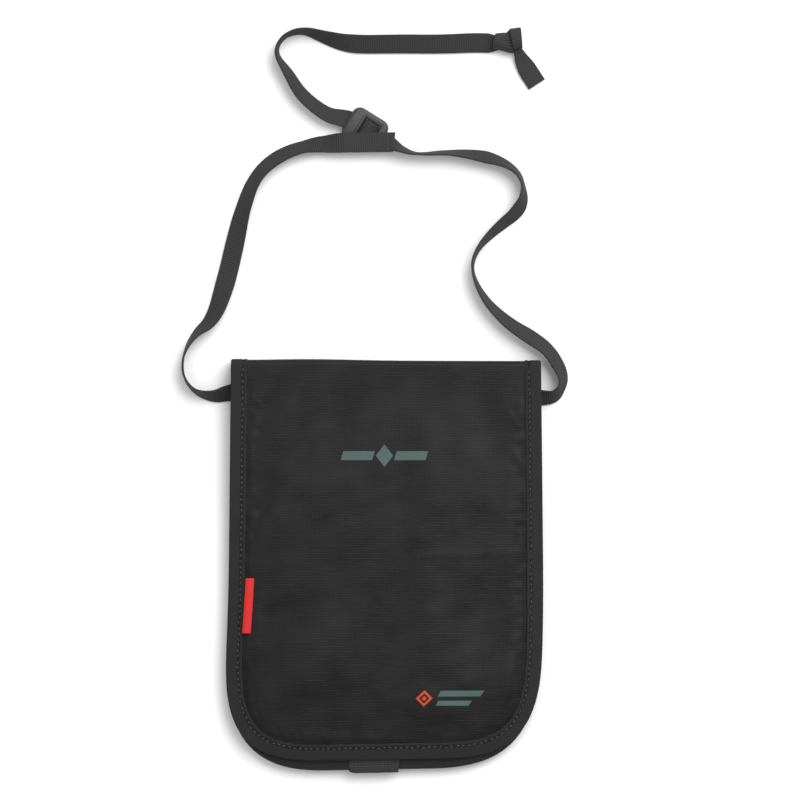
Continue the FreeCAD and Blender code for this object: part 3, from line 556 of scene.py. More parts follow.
SEAM_HEIGHT = 4.2
left_points = [(-64.0, 77.4, SEAM_HEIGHT, 12)] + on_table(LEFT_ROUTE)
right_points = ([(64.0, 74.8, SEAM_HEIGHT, -12)] + on_table(RIGHT_ROUTE) + threaded_points
                + on_table(TAIL_ROUTE) + [(54.0, 233.4, 3.4, -4)])
print("control points:", len(left_points), len(right_points))


# %% From control points to a centreline
def centreline(name, points, spacing=0.25):
    """The NURBS line of the control points, read at even steps, with the roll carried along it and softened over
    six millimetres."""
    curve = bpy.data.curves.new(name, "CURVE")
    curve.dimensions = "3D"
    spline = curve.splines.new("NURBS")
    spline.points.add(len(points) - 1)
    for point, (across, up, height, roll) in zip(spline.points, points):
        point.co = (across * MM, up * MM, height * MM, 1.0)
    spline.order_u = 3
    spline.use_endpoint_u = True
    spline.resolution_u = 16
    holder = bpy.data.objects.new(name, curve)
    scene.collection.objects.link(holder)
    line = bpy.data.meshes.new_from_object(holder)
    path = np.zeros(len(line.vertices) * 3)
    line.vertices.foreach_get("co", path)
    path = path.reshape(-1, 3) / MM
    bpy.data.objects.remove(holder)
    along = length_along(path)
    steps = np.linspace(0, along[-1], int(along[-1] / spacing))
    share = np.linspace(0, len(path) - 1, 2 * len(points) - 3)
    knots = np.interp(share[1::2], np.arange(len(path)), along)
    places = np.r_[0, knots[:len(points) - 2], along[-1]]
    roll = np.interp(steps, places, [point[3] for point in points])
    soft = np.hanning(int(6 / spacing) | 1)
    pad = len(soft) // 2
    roll = np.convolve(np.pad(roll, pad, "edge"), soft / soft.sum(), "valid")
    return read_at(steps, along, path), steps, roll


left_line, left_steps, left_roll = centreline("left_line", left_points)
right_line, right_steps, right_roll = centreline("right_line", right_points)
print("left", round(left_steps[-1], 1), "mm, right", round(right_steps[-1], 1), "mm")

# %% [markdown]
# The webbing is a rounded flat section carried along its line. Its ribs are real: the section thins a little
# once in each millimetre, as a weft yarn does.


# %% Ribbons
def section(count=16, roundness=0.34):
    """A flat rounded section: cosine and sine of the angle round it, each raised to a small power."""
    turn = math.pi - 2 * math.pi * np.arange(count) / count
    return signed_power(np.cos(turn), roundness), signed_power(np.sin(turn), roundness)


UP = np.array([0, 0, 1.0])


def level_right(ahead):
    """The level direction to the right of a path."""
    return np.stack([ahead[:, 1], -ahead[:, 0], np.zeros(len(ahead))], 1)


def rolled_side(path, roll):
    """Direction across the webbing: level, to the right of its path, turned up by the roll."""
    right = level_right(unit(np.gradient(path, axis=0) * (1, 1, 0)))
    turn = np.radians(roll)[:, None]
    return right * np.cos(turn) + UP * np.sin(turn)


def ribbon(path, side, width, thickness, rib=0.09, pitch=1.0, closed=False):
    """A webbing: the section, as wide and thick as asked, carried along the path. Returns its rings and map."""
    ahead = ahead_along(path, closed)
    side = unit(side - ahead * (side * ahead).sum(1, keepdims=True))
    normal = np.cross(side, ahead)
    along = length_along(path)
    across, up = section()
    width = np.broadcast_to(width, len(path))[:, None]
    thickness = np.broadcast_to(thickness, len(path))[:, None]
    thin = thickness * (1 + rib * np.cos(2 * math.pi * along / pitch)[:, None] - rib)
    rings = (path[:, None] + side[:, None] * (across * width / 2)[..., None]
             + normal[:, None] * (up * thin / 2)[..., None])
    # the lower face's pattern is shifted a little, so that the two faces differ
    surface = np.stack([across * width / 2 + (up < 0) * 0.31,
                        np.broadcast_to(along[:, None], (len(path), len(across)))], -1)
    return rings, surface.reshape(-1, 2)


rings, surface = ribbon(left_line, rolled_side(left_line, left_roll), WEBBING_WIDTH, WEBBING)
neck_strap_left = add_piece("strap_left", swept(rings), "pouch", "webbing",
                            ("neck_strap_left", "strap_anchor_left"), surface, slot="webbing")

gathered = smooth_step((right_steps - right_steps[-1] + 9.0) / 7.0)
rings, surface = ribbon(right_line, rolled_side(right_line, right_roll),
                        WEBBING_WIDTH * (1 - 0.36 * gathered), WEBBING * (1 + 1.2 * gathered))
neck_strap_right = add_piece("strap_right", swept(rings), "pouch", "webbing",
                             ("neck_strap_right", "strap_anchor_right", "strap_threaded", "neck_strap_tail"),
                             surface)
print("strap faces:", len(neck_strap_left.data.polygons), len(neck_strap_right.data.polygons))

# %% [markdown]
# ## The sewn end, the adjuster and the knot
# The fixed strap's last three centimetres are folded under and sewn down, and they lie over the adjuster. The
# fold is one ribbon that goes out, turns over at the end and comes back below itself.

# %% Sewn end
SEWN_TOP = 6.75
SEWN_LOW = 5.85
SEWN_WEBBING = 0.8
SEWN_TIP = 2.9
STRAP_END, STRAP_END_UP, STRAP_END_ROLL = -29.1, 188.1, 32
out_x = np.linspace(-30.0, SEWN_TIP, 132)
rise = smooth_step((out_x - STRAP_END) / 10)
out_z = left_line[-1, 2] * (1 - rise) + SEWN_TOP * rise
turn = np.linspace(math.pi / 2, -math.pi / 2, 9)[1:-1]
back_x = np.linspace(SEWN_TIP, -21.0, 90)
after_out = len(turn) + len(back_x)
fold = (SEWN_TOP - SEWN_LOW) / 2
sewn_x = np.r_[out_x, SEWN_TIP + fold * np.cos(turn), back_x]
sewn_z = np.r_[out_z, (SEWN_TOP + SEWN_LOW) / 2 + fold * np.sin(turn), np.full(len(back_x), SEWN_LOW)]
beyond = sewn_x - STRAP_END
sewn_y = STRAP_END_UP + 0.3 * beyond / 32.4 + 0.5 * (1 - np.exp(-beyond / 6))
sewn_line = np.stack([sewn_x, sewn_y, sewn_z], 1)
# the webbing keeps one side all the way round its fold, so its direction is taken from the way out
sewn_roll = np.radians(STRAP_END_ROLL * (1 - np.r_[rise, np.ones(after_out)]))
sewn_ahead = np.concatenate([unit(np.gradient(sewn_line[:, :2], axis=0)[:len(out_x)]),
                             np.tile([[1.0, 0.0]], (after_out, 1))])
sewn_side = np.stack([sewn_ahead[:, 1] * np.cos(sewn_roll), -sewn_ahead[:, 0] * np.cos(sewn_roll),
                      np.sin(sewn_roll)], 1)
rings, surface = ribbon(sewn_line, sewn_side, WEBBING_WIDTH, SEWN_WEBBING, rib=0.12)
# its end is cut a little aslant
rings[..., 0] += 0.13 * (rings[..., 1] - 188.7) * smooth_step((rings[..., 0] + 8) / 9)
strap_sewn_end = add_piece("strap_end_fold", swept(rings), "pouch", "webbing", "strap_sewn_end", surface)
print("sewn end", strap_sewn_end.dimensions[:])


# %% Stitches
def capsule(around=6, along=4):
    """A small closed lozenge of unit size: rings whose radius is the root of 1 - s squared, and two tips."""
    s = np.linspace(-1, 1, along + 2)[1:-1]
    turn = math.pi - 2 * math.pi * np.arange(around) / around
    radius = (1 - np.abs(s) ** 2.6) ** 0.5
    points = np.stack([np.repeat(s, around), np.tile(np.cos(turn), along) * np.repeat(radius, around),
                       np.tile(np.sin(turn), along) * np.repeat(radius, around)], 1)
    points = np.concatenate([points, [[-1, 0, 0], [1, 0, 0]]])
    faces = grid_faces(along, around, wrap_columns=True).tolist()
    low, high = along * around, along * around + 1
    faces += [[low, (k + 1) % around, k] for k in range(around)]
    last = (along - 1) * around
    faces += [[high, last + k, last + (k + 1) % around] for k in range(around)]
    return points, faces


def stitch_row(places, ahead, up, length=1.9, width=0.5, height=0.34):
    """One capsule at each place, as long as a stitch, lying along the row's direction."""
    shape, faces = capsule()
    ahead = unit(ahead)
    side = unit(np.cross(ahead, up))
    up = np.cross(side, ahead)
    scale = shape * (length / 2, width / 2, height / 2)
    points = (places[:, None] + ahead[:, None] * scale[None, :, :1] + side[:, None] * scale[None, :, 1:2]
              + up[:, None] * scale[None, :, 2:])
    count = len(shape)
    every = [[corner + count * k for corner in face] for k in range(len(places)) for face in faces]
    return points.reshape(-1, 3), every


def spaced(path, pitch):
    """Places and directions at even steps along a path."""
    along = length_along(path)
    steps = np.arange(pitch / 2, along[-1], pitch)
    return read_at(steps, along, path), read_at(steps, along, np.gradient(path, axis=0))


def joined(shapes):
    """Several closed shapes as one."""
    points, faces, count = [], [], 0
    for shape_points, shape_faces in shapes:
        points.append(np.asarray(shape_points, float))
        faces += [[int(corner) + count for corner in face] for face in shape_faces]
        count += len(shape_points)
    return np.concatenate(points), faces


rows = []
for row_x in (-20.6, 0.6):
    line = np.array([[row_x, 185.2, SEWN_TOP + 0.38], [row_x, 192.2, SEWN_TOP + 0.38]])
    rows.append(stitch_row(*spaced(line, 1.4), UP, 1.1, 0.4, 0.25))
sewn_end_thread = add_piece("strap_end_stitches", joined(rows), "pouch", "thread", "sewn_end_thread")
print("stitches on the sewn end:", sum(len(points) for points, faces in rows) // len(capsule()[0]))

# %% [markdown]
# The adjuster is a small moulded frame: a round edge bar bent into a rounded rectangle, a broad rail across one
# end, a narrower one across the other, and a bar across the middle that the webbing goes over.


# %% Strap adjuster
def rounded_rectangle(half_long, half_wide, corner_radius, steps=10):
    """Points round a rectangle whose corners are quarter circles, counterclockwise."""
    line = []
    for quarter, (x, y) in enumerate([(1, 1), (-1, 1), (-1, -1), (1, -1)]):
        turn = math.pi / 2 * (quarter + np.linspace(0, 1, steps))
        line.append(np.stack([x * (half_long - corner_radius) + corner_radius * np.cos(turn),
                              y * (half_wide - corner_radius) + corner_radius * np.sin(turn)], 1))
    return np.concatenate(line)


def upright_rings(path, side, profile, half_width, half_height):
    """A section at each point of a path, as wide as asked along the side and as tall as asked straight up."""
    across, up = profile
    return (path[:, None] + side[:, None] * (across * half_width)[None, :, None]
            + UP * (up * half_height)[None, :, None])


def bar(start, end, half_width, half_height, height, dome=0.0, roundness=0.6):
    """A straight moulded bar: a rounded section carried from start to end, higher in the middle by the dome."""
    share = np.linspace(0, 1, 15)[:, None]
    path = np.concatenate([np.array(start) * (1 - share) + np.array(end) * share,
                           height + dome * np.sin(math.pi * share)], 1)
    return swept(upright_rings(path, level_right(ahead_along(path)), section(16, roundness), half_width,
                               half_height))


edge = rounded_rectangle(7.3, 6.2, 2.0)
edge_path = np.concatenate([edge, np.full((len(edge), 1), 3.0)], 1)
edge_rings = upright_rings(edge_path, level_right(ahead_along(edge_path, closed=True)), section(14, 0.75), 1.7,
                           1.0)
# each bar: start, end, half width, half height, height, dome and roundness
adjuster_shape = joined([swept(edge_rings, closed=True),
                         bar((5.5, -6.3), (5.5, 6.3), 2.9, 1.05, 3.35, 0.45, 0.5),
                         bar((3.1, -5.0), (3.1, 5.0), 0.6, 0.8, 4.4, 0.5, 0.8),
                         bar((-6.9, -6.3), (-6.9, 6.3), 1.5, 0.95, 3.2, 0.3, 0.5),
                         bar((0.0, -6.4), (0.0, 6.4), 0.95, 0.7, 2.9, 0.0, 0.7)])
turned = np.array([adjuster_ahead, [-adjuster_ahead[1], adjuster_ahead[0]]])
adjuster_points = adjuster_shape[0].copy()
adjuster_points[:, :2] = adjuster_points[:, :2] @ turned + ADJUSTER_MIDDLE
strap_adjuster = add_piece("adjuster_frame", (adjuster_points, adjuster_shape[1]), "pouch", "buckle_plastic",
                           "strap_adjuster")
print("adjuster", strap_adjuster.dimensions[:])

# %% [markdown]
# The knot is an overhand knot pulled flat. What shows is one broad turn of webbing round the strap, a narrower
# turn over it, and the short tail that comes out below. Each turn is a closed loop of the same ribbon.


# %% Knot and tail
def knot_turn(middle, lean, half_long, half_tall, height, width, thickness, spread=0.0, count=72):
    """A loop of webbing: an oval standing across the strap, leaning by an angle, wider on one side by spread."""
    turn = np.linspace(0, 2 * math.pi, count, endpoint=False)
    down = np.array([math.sin(lean), -math.cos(lean), 0.0])
    level, rise = signed_power(np.cos(turn), 0.8), signed_power(np.sin(turn), 0.8)
    path = (np.array([*middle, height]) + down * (half_long * level)[:, None]
            + UP * (half_tall * rise)[:, None])
    side = np.broadcast_to(np.array([math.cos(lean), math.sin(lean), 0.0]), path.shape)
    rings, surface = ribbon(path, side, width * (1 - spread * level), thickness, closed=True)
    return swept(rings[:, ::-1], closed=True), surface


KNOT = (52.6, 233.9)
broad, broad_map = knot_turn(KNOT, math.radians(-6), 3.5, 2.6, 3.3, 8.9, 1.3, -0.05)
# the broad turn opens out towards the tail
taper = 1 + 0.17 * (broad[0][:, :1] - KNOT[0]) / 4.4
broad[0][:, 1:2] = KNOT[1] + (broad[0][:, 1:2] - KNOT[1]) * taper
narrow, narrow_map = knot_turn((58.3, 235.4), math.radians(8), 4.1, 3.2, 4.6, 4.8, 1.3, 0.1)
inner, inner_map = knot_turn((55.4, 234.4), math.radians(-35), 3.0, 1.9, 3.4, 6.4, 2.2)
end_knot = add_piece("strap_knot", joined([broad, narrow, inner]), "pouch", "webbing", "end_knot",
                     np.concatenate([broad_map, narrow_map, inner_map]))

tail_share = np.linspace(0, 1, 90)
tail_places = np.array([[57.9, 233.0, 3.2], [59.0, 230.2, 2.9], [60.9, 225.9, 1.6], [64.0, 220.6, 0.85],
                        [67.6, 215.1, 0.8]])
tail_line = read_at(tail_share, np.linspace(0, 1, 5), tail_places)
for _ in range(12):
    tail_line[1:-1] = (tail_line[:-2] + 2 * tail_line[1:-1] + tail_line[2:]) / 4
tail_width = 3.9 + 4.7 * smooth_step((tail_share - 0.15) / 0.6)
rings, surface = ribbon(tail_line, rolled_side(tail_line, 6 * (1 - tail_share)), tail_width,
                        1.7 - 0.7 * smooth_step(tail_share / 0.5))
knot_tail = add_piece("strap_tail", swept(rings), "pouch", "webbing", "knot_tail", surface)
print("knot", end_knot.dimensions[:])

# %% [markdown]
# Both straps' centrelines are turned into lists of points in metres.

(left_line * MM).tolist()
(right_line * MM).tolist()

# %% [markdown]
# ## The outline
# The pouch's edge runs straight down each side and turns each lower corner in a curve that is squarer than a
# circle. Everything on the pouch is laid out from this one edge: the cloth stops a little inside it, the
# binding straddles it and the stitches run at a fixed distance from it.

# %% The edge as a line
TOP_HALF = 69.2
LOW_HALF = 70.6
CORNER_START = -35.0
CORNER_CENTRE = 20.0
FOLD_TOP = 91.7
FOLD_START = 89.0
# how far down each outline reaches, and how square its lower corners are
BODY = (91.8, 2.75)
FLAP = (87.0, 3.1)


def half_width(up):
    """Half the pouch's width at a height: a straight line from the fold to where the corners start."""
    return np.interp(up, [CORNER_START, FOLD_TOP], [LOW_HALF, TOP_HALF])


def inward(path):
    """Unit normals on the left of a flat line, which is the pouch's side of its edge."""
    ahead = ahead_along(path)
    return np.stack([-ahead[:, 1], ahead[:, 0]], 1)


def edge_line(depth, squareness, top, inset=0.0, count=900):
    """The edge from the left top, down, round the bottom and up to the right top. Each corner is a quarter of
    |x/a|^n + |y/b|^n = 1. Then each point moves inward along the line's normal by the inset."""
    turn = np.linspace(0, math.pi / 2, 600)
    across = CORNER_CENTRE + (LOW_HALF - CORNER_CENTRE) * np.cos(turn) ** (2 / squareness)
    down = CORNER_START - (depth + CORNER_START) * np.sin(turn) ** (2 / squareness)
    right = np.concatenate([[[0.0, -depth]], np.stack([across, down], 1)[::-1],
                            [[half_width(top), top]]])
    line = even_line(np.concatenate([right[::-1] * (-1, 1), right[1:]]), count)
    return line + inward(line) * inset


BODY_EDGE = edge_line(*BODY, FOLD_TOP)
FLAP_EDGE = edge_line(*FLAP, FOLD_TOP)


def edge_distance(places, edge=BODY_EDGE):
    """Distance of each place from the nearest point of the edge, worked out a few thousand places at a time."""
    flat = np.asarray(places, float)[..., :2].reshape(-1, 2)
    nearest = np.concatenate([np.sqrt(((part[:, None] - edge[None]) ** 2).sum(2).min(1))
                              for part in np.array_split(flat, max(1, len(flat) // 4000))])
    return nearest.reshape(np.asarray(places).shape[:-1])


print("edge", round(float(length_along(BODY_EDGE)[-1])), "mm long")

# %% [markdown]
# ## How the layers lie
# Empty, the pouch is a stack of flat layers. Its bound edges are pinched by the stitching, so near the edge
# every layer comes closer to the middle of the body. The flap lies on the body and follows it. Lying on the
# table the cloth has also slid a little: its lower part leans to the left and its bottom edge tilts.

# %% Layer heights and settling
BODY_MIDDLE = 4.0
PINCH = 0.42


def pinched(level, places):
    """Height of a layer: its level drawn towards the body's middle near the edge, but not near the fold."""
    hold = (PINCH * (1 - smooth_step(edge_distance(places) / 15))
            * smooth_step((88 - np.asarray(places)[..., 1]) / 100))
    return BODY_MIDDLE + (level - BODY_MIDDLE) * (1 - hold)


def settle(points):
    """Where a point of the flat pattern ends up on the table: a lean to the left that grows downwards, a tilt of
    the bottom edge, the right corner pushed out a little, and a low rise along the fold."""
    points = np.array(points, float)
    across, up = points[..., 0].copy(), points[..., 1].copy()
    points[..., 0] -= 3.3 * np.clip((5 - up) / 90, 0, None) ** 2
    points[..., 1] += 0.018 * across * smooth_step((-40 - up) / 45)
    corner = np.exp(-((across - 56) / 19) ** 2 - ((up + 81) / 19) ** 2)
    points[..., 0] += 0.9 * corner
    points[..., 1] -= 0.8 * corner
    points[..., 1] += ((0.55 * np.exp(-((across + 33) / 25) ** 2) - 0.0035 * across)
                       * smooth_step((up - 50) / 40))
    return points


def add_settled(name, shape, *rest, **more):
    """A piece made in the flat pattern's places and added where they end up."""
    points, faces = shape
    return add_piece(name, (settle(points), faces), *rest, **more)


# Broad soft bumps of the flap: across, up, turn in degrees, half length, half width, height.
BUMPS = [(17, -22, 90, 60, 9.0, 1.59), (42, -22, 80, 17, 9.5, -1.97), (-37, -48, 70, 24, 13, 1.97),
         (-44, -22, 20, 12, 7.0, -1.12), (-30, 58, 60, 34, 17, -1.33), (8, 32, 90, 16, 7.0, -0.83),
         (46, 62, 95, 18, 8.0, -0.96), (-51, 74, 62, 13, 2.8, -1.01), (-44, 70, 62, 14, 3.4, 0.77),
         (-56, 25, 60, 11, 2.6, -0.96), (-50, 22, 62, 12, 3.6, 0.7), (-46, 42, 55, 13, 4.0, 0.58),
         (40, 5, 2, 24, 0.9, 0.22), (-36, -62, 25, 13, 7.5, -1.28), (30, -66, -20, 18, 7.0, 0.8),
         (55, 20, 88, 22, 5.0, 0.58), (-20, -80, 0, 26, 4.0, 0.7), (56, -52, 70, 16, 5.0, 0.8)]


def bumps(places):
    """Sum of the bumps, each a bell curve of the distance along and across it."""
    x, y = places[..., 0], places[..., 1]
    total = np.zeros(x.shape)
    for across, up, turn, long, wide, height in BUMPS:
        c, s = math.cos(math.radians(turn)), math.sin(math.radians(turn))
        along = ((x - across) * c + (y - up) * s) / long
        beside = (-(x - across) * s + (y - up) * c) / wide
        total += height * np.exp(-along ** 2 - beside ** 2)
    return total


def waves_noise(x, y, seed, size, count=14):
    """Gentle unevenness: the mean of sine waves with random directions and phases, from a fixed seed."""
    random = np.random.default_rng(seed)
    turn = random.uniform(0, 2 * math.pi, count)
    phase = random.uniform(0, 2 * math.pi, count)
    scale = 2 * math.pi / (size * random.uniform(0.7, 1.8, count))
    return sum(np.sin(scale[k] * (x * math.cos(turn[k]) + y * math.sin(turn[k])) + phase[k])
               for k in range(count)) / count ** 0.5


FLAP_BOTTOM_LEVEL = 9.6
FLAP_CLOTH_LEVEL = 10.9


def on_flap(level, places):
    """Height of one of the flap's levels: its layers keep their distances from its pinched underside."""
    return pinched(FLAP_BOTTOM_LEVEL, places) + level - FLAP_BOTTOM_LEVEL


def flap_height(places, level=FLAP_CLOTH_LEVEL, groove_depth=0.55):
    """Height of the flap's cloth: it follows the body's edge, sinks in a groove along the binding, and rises
    to a low soft crown."""
    places = np.asarray(places, float)
    inside = edge_distance(places, FLAP_EDGE)
    fade = smooth_step((FOLD_START - places[..., 1]) / 30)
    away = smooth_step((inside - 6.9) / 7)
    groove = -groove_depth * np.exp(-((inside - 7.7) / 0.7) ** 2) * smooth_step((88 - places[..., 1]) / 12)
    pucker = 0.16 * waves_noise(places[..., 0], places[..., 1], 3, 5.0) * np.exp(-((inside - 10) / 3.5) ** 2)
    soft = 0.10 * waves_noise(places[..., 0], places[..., 1], 5, 16.0)
    crown = 2.1 * smooth_step((inside - 7) / 32) * smooth_step((FOLD_START - places[..., 1]) / 60)
    return on_flap(level, places) + groove + away * fade * (crown + bumps(places) + soft) + pucker * fade


print("flap middle at", round(float(flap_height(np.array([[0.0, 0.0]]))[0]), 2), "mm")

# %% [markdown]
# ## Cutting a panel
# A panel of the pouch is a grid stretched between four edges: its two sides, the top, and the bottom. The grid's
# lower corners sit in the middle of the pouch's rounded corners, so the rows stay even. Each inner point is the
# sum of the two side-to-side mixes less the mix of the four corners.


# %% Panel grid
def panel_grid(depth, squareness, top, inset, across, up, dense=3000):
    """A grid of places filling the outline below a height, as the mix of its four edges."""
    edge = edge_line(depth, squareness, top, inset, dense)
    ahead = np.gradient(edge, axis=0)
    first = int(np.argmax(ahead[:, 0] >= -ahead[:, 1]))
    last = dense - 1 - int(np.argmax(ahead[::-1, 0] >= ahead[::-1, 1]))
    left = even_line(edge[:first + 1][::-1], up)
    right = even_line(edge[last:], up)
    bottom = even_line(edge[first:last + 1], across)
    roof = even_line(np.array([left[-1], right[-1]]), across)
    u = np.linspace(0, 1, across)[None, :, None]
    v = np.linspace(0, 1, up)[:, None, None]
    corners = ((1 - u) * (1 - v) * bottom[0] + u * (1 - v) * bottom[-1] + (1 - u) * v * roof[0]
               + u * v * roof[-1])
    return ((1 - v) * bottom[None] + v * roof[None] + (1 - u) * left[:, None] + u * right[:, None] - corners)


def with_height(grid, height):
    return np.concatenate([grid, np.asarray(height, float)[..., None]], -1)


def sheet_map(grid):
    """A cloth's own map: the flat pattern's place, for the front and back grids alike."""
    flat = grid[..., :2].reshape(-1, 2)
    return np.concatenate([flat, flat])


# %% [markdown]
# ## The shell
# One piece of coated ripstop is the back of the pouch, turns up over the top edge and becomes the flap. It is
# drawn as one grid whose rows run up the flap, round the fold and down the back.

# %% Shell cloth
CLOTH = 0.4
CLOTH_INSET = 1.0
COLUMNS = 132
flap_grid = panel_grid(*FLAP, FOLD_START, CLOTH_INSET, COLUMNS, 150)
flap_grid = with_height(flap_grid, flap_height(flap_grid))

FOLD_OUT = 91.2
FOLD_TOP_ROUND = FOLD_OUT - FOLD_START
FOLD_LOW_ROUND = 2.9
BACK_LEVEL = 0.12


def fold_profile(steps=(9, 7, 9)):
    """Up and height of the fold's outer face: a quarter turn off the flap, a short wall, a quarter turn to the
    back, with the direction that each point faces."""
    first = np.linspace(math.pi / 2, 0, steps[0] + 1)[1:]
    wall = np.linspace(FLAP_CLOTH_LEVEL - FOLD_TOP_ROUND, BACK_LEVEL + FOLD_LOW_ROUND, steps[1] + 1)[1:]
    last = np.linspace(0, -math.pi / 2, steps[2] + 1)[1:]
    up = np.r_[FOLD_START + FOLD_TOP_ROUND * np.cos(first), np.full(len(wall), FOLD_OUT),
               FOLD_OUT - FOLD_LOW_ROUND + FOLD_LOW_ROUND * np.cos(last)]
    height = np.r_[FLAP_CLOTH_LEVEL - FOLD_TOP_ROUND + FOLD_TOP_ROUND * np.sin(first), wall,
                   BACK_LEVEL + FOLD_LOW_ROUND + FOLD_LOW_ROUND * np.sin(last)]
    return up, height, np.r_[first, np.zeros(len(wall)), last]


fold_up, fold_height, fold_facing = fold_profile()
fold_grid = np.stack(np.broadcast_arrays(flap_grid[None, -1, :, 0], fold_up[:, None], fold_height[:, None]), -1)

back_grid = panel_grid(*BODY, fold_up[-1] - 0.8, CLOTH_INSET, COLUMNS, 110)[::-1]


def back_height(places):
    """The back's outer face: flat on the table, tucked up behind the binding's leaf and at the pinched edge."""
    tuck = smooth_step((edge_distance(places) - 6.6) / 2.2)
    return pinched(BACK_LEVEL, places) + 0.34 * (1 - tuck) * smooth_step((86 - places[..., 1]) / 3)


back_grid = with_height(back_grid, back_height(back_grid))
shell_grid = np.concatenate([flap_grid, fold_grid, back_grid])
rows_along = length_along(shell_grid[:, COLUMNS // 2]) - FLAP[0]
turned_back = shell_grid[len(flap_grid):, :, 0]
flat_back = np.stack(np.broadcast_arrays(turned_back, rows_along[len(flap_grid):, None]), -1)
flat_shell = np.concatenate([flap_grid[..., :2], flat_back])
shell_points, shell_faces = closed_sheet(shell_grid, CLOTH)
shell = add_piece("shell", (settle(shell_points), shell_faces), None, "shell_cloth",
                  ("back_panel", "top_fold", "flap_panel"), sheet_map(flat_shell), sharp=60)
print("shell", len(shell.data.polygons), "faces")

# %% [markdown]
# The CAD hinge runs along the top of the fold. The shell's placement is only baked into its points; no part of it
# is split off to turn with the flap.


def bend_with_flap(piece):
    """Bakes the piece's placement into its points; the piece is not split or turned with the flap."""
    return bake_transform(piece)


bend_with_flap(shell)
shell_area = 0.5 * sum(face.area for face in shell.data.polygons)
print("shell area", round(shell_area, 4), "square metres a layer")

# %% [markdown]
# ## The bindings
# A binding is a strip of tape folded over the raw edges and sewn through. Its profile is a U: one leaf on the
# front, a rounded wall beside the edge, one leaf on the back. The profile is given as distance in from the edge
# and level, and it is carried round the edge.


# %% Binding profile
def binding_profile(low, high, width, leaf=0.4, wall=1.0, round_reach=2.0, dip=0.2):
    """Inset and level of a folded tape: out along the back leaf, round the edge as part of an oval, in along
    the front leaf, and back along the inside. The leaves dip where the stitches pull them."""
    middle, half = (low + high) / 2, (high - low) / 2
    reach = min(round_reach, max(half, 0.8))
    leaf_in = np.r_[width, np.linspace(width - 0.2, reach, 13)]
    turn = np.linspace(-math.pi / 2, math.pi / 2, 15)[1:-1]
    oval_in = reach - reach * np.cos(turn) ** 0.8
    oval_up = middle + half * signed_power(np.sin(turn), 0.9)
    sink = dip * np.exp(-((leaf_in - STITCH_INSET) / 0.6) ** 2)
    edge_round = np.where(leaf_in > width - 0.1, 0.16, 0.0)
    inset = np.r_[leaf_in, oval_in, leaf_in[::-1], width - 0.02, STITCH_INSET, wall, wall, STITCH_INSET,
                  width - 0.02]
    level = np.r_[low + sink + edge_round, oval_up, (high - sink - edge_round)[::-1],
                  high - leaf, high - leaf - dip, high - leaf, low + leaf, low + leaf + dip, low + leaf]
    return inset, level


def tape_map(inset, level, along):
    """The tape's own map: along the edge, and across the strip by the distance in from its fold, less than 0 on
    the back leaf."""
    across = inset * np.where(level < (level.min() + level.max()) / 2, -1, 1)
    return np.stack(np.broadcast_arrays(across[None], along[:, None]), -1).reshape(-1, 2)


def binding_rings(path, inset, wave):
    """The profile carried round the edge, its inner side a little wavy."""
    reach = inset[None] + wave[:, None] * (inset > 6)[None]
    return path[:, None] + inward(path)[:, None] * reach[..., None]


BINDING_WIDTH = 7.2
BODY_LOW_LEVEL, BODY_TOP_LEVEL = 0.05, 8.4
body_path = edge_line(*BODY, 89.6, 0.0, 460)
body_along = length_along(body_path)
inset, level = binding_profile(BODY_LOW_LEVEL, BODY_TOP_LEVEL, BINDING_WIDTH)
rings = binding_rings(body_path, inset, 0.10 * waves_noise(body_along, body_along * 0, 8, 14.0))
rings = with_height(rings, pinched(np.broadcast_to(level, rings.shape[:2]), rings))
add_settled("body_edge_tape", swept(rings), "pouch", "binding_tape", "body_binding",
            tape_map(inset, level, body_along), sharp=50)
print("body binding", round(body_along[-1]), "mm")

# %% [markdown]
# The flap's binding does not stop at the fold: it turns over it with the cloth and ends on the back of the fold.

# %% Flap binding
FLAP_TAPE_TOP = 11.3
flap_path = edge_line(*FLAP, FOLD_START, 0.0, 440)
flat_along = length_along(flap_path)
inset, level = binding_profile(FLAP_BOTTOM_LEVEL, FLAP_TAPE_TOP, BINDING_WIDTH, round_reach=1.1, wall=0.7)
wave = (0.13 * waves_noise(flat_along, flat_along * 0, 9, 13.0) * smooth_step(flat_along / 30)
        * smooth_step((flat_along[-1] - flat_along) / 30))
flat_rings = binding_rings(flap_path, inset, wave)
flat_rings = with_height(flat_rings, on_flap(level[None], flat_rings))
# the tape ends on the back of the fold, eight steps before the fold does
turned_over = len(fold_facing) - 8


def over_fold(side, inset, level):
    """The same profile at each step round the fold: in from the side edge, and out from the cloth's face."""
    facing = fold_facing[:turned_over]
    out = (level - FLAP_CLOTH_LEVEL)[None]
    across = np.broadcast_to((side * (half_width(91.0) - inset))[None], (turned_over, len(inset)))
    up = fold_up[:turned_over, None] + np.cos(facing)[:, None] * out
    height = fold_height[:turned_over, None] + np.sin(facing)[:, None] * out
    return np.stack([across, up, height], -1)


flap_rings = np.concatenate([over_fold(-1, inset, level)[::-1], flat_rings, over_fold(1, inset, level)])
outer_face = 15
flap_along = length_along(flap_rings[:, outer_face])
flap_tape = add_settled("flap_edge_tape", swept(flap_rings), None, "binding_tape", "flap_binding",
                        tape_map(inset, level, flap_along), sharp=50)
bend_with_flap(flap_tape)
print("flap binding", round(flap_along[-1]), "mm")


# %% Stitches along the bindings
def add_stitches(name, rows, body, stands_for=()):
    """Rows of stitches as one piece, smooth all over."""
    return add_settled(name, joined(rows), body, "thread", stands_for, sharp=180)


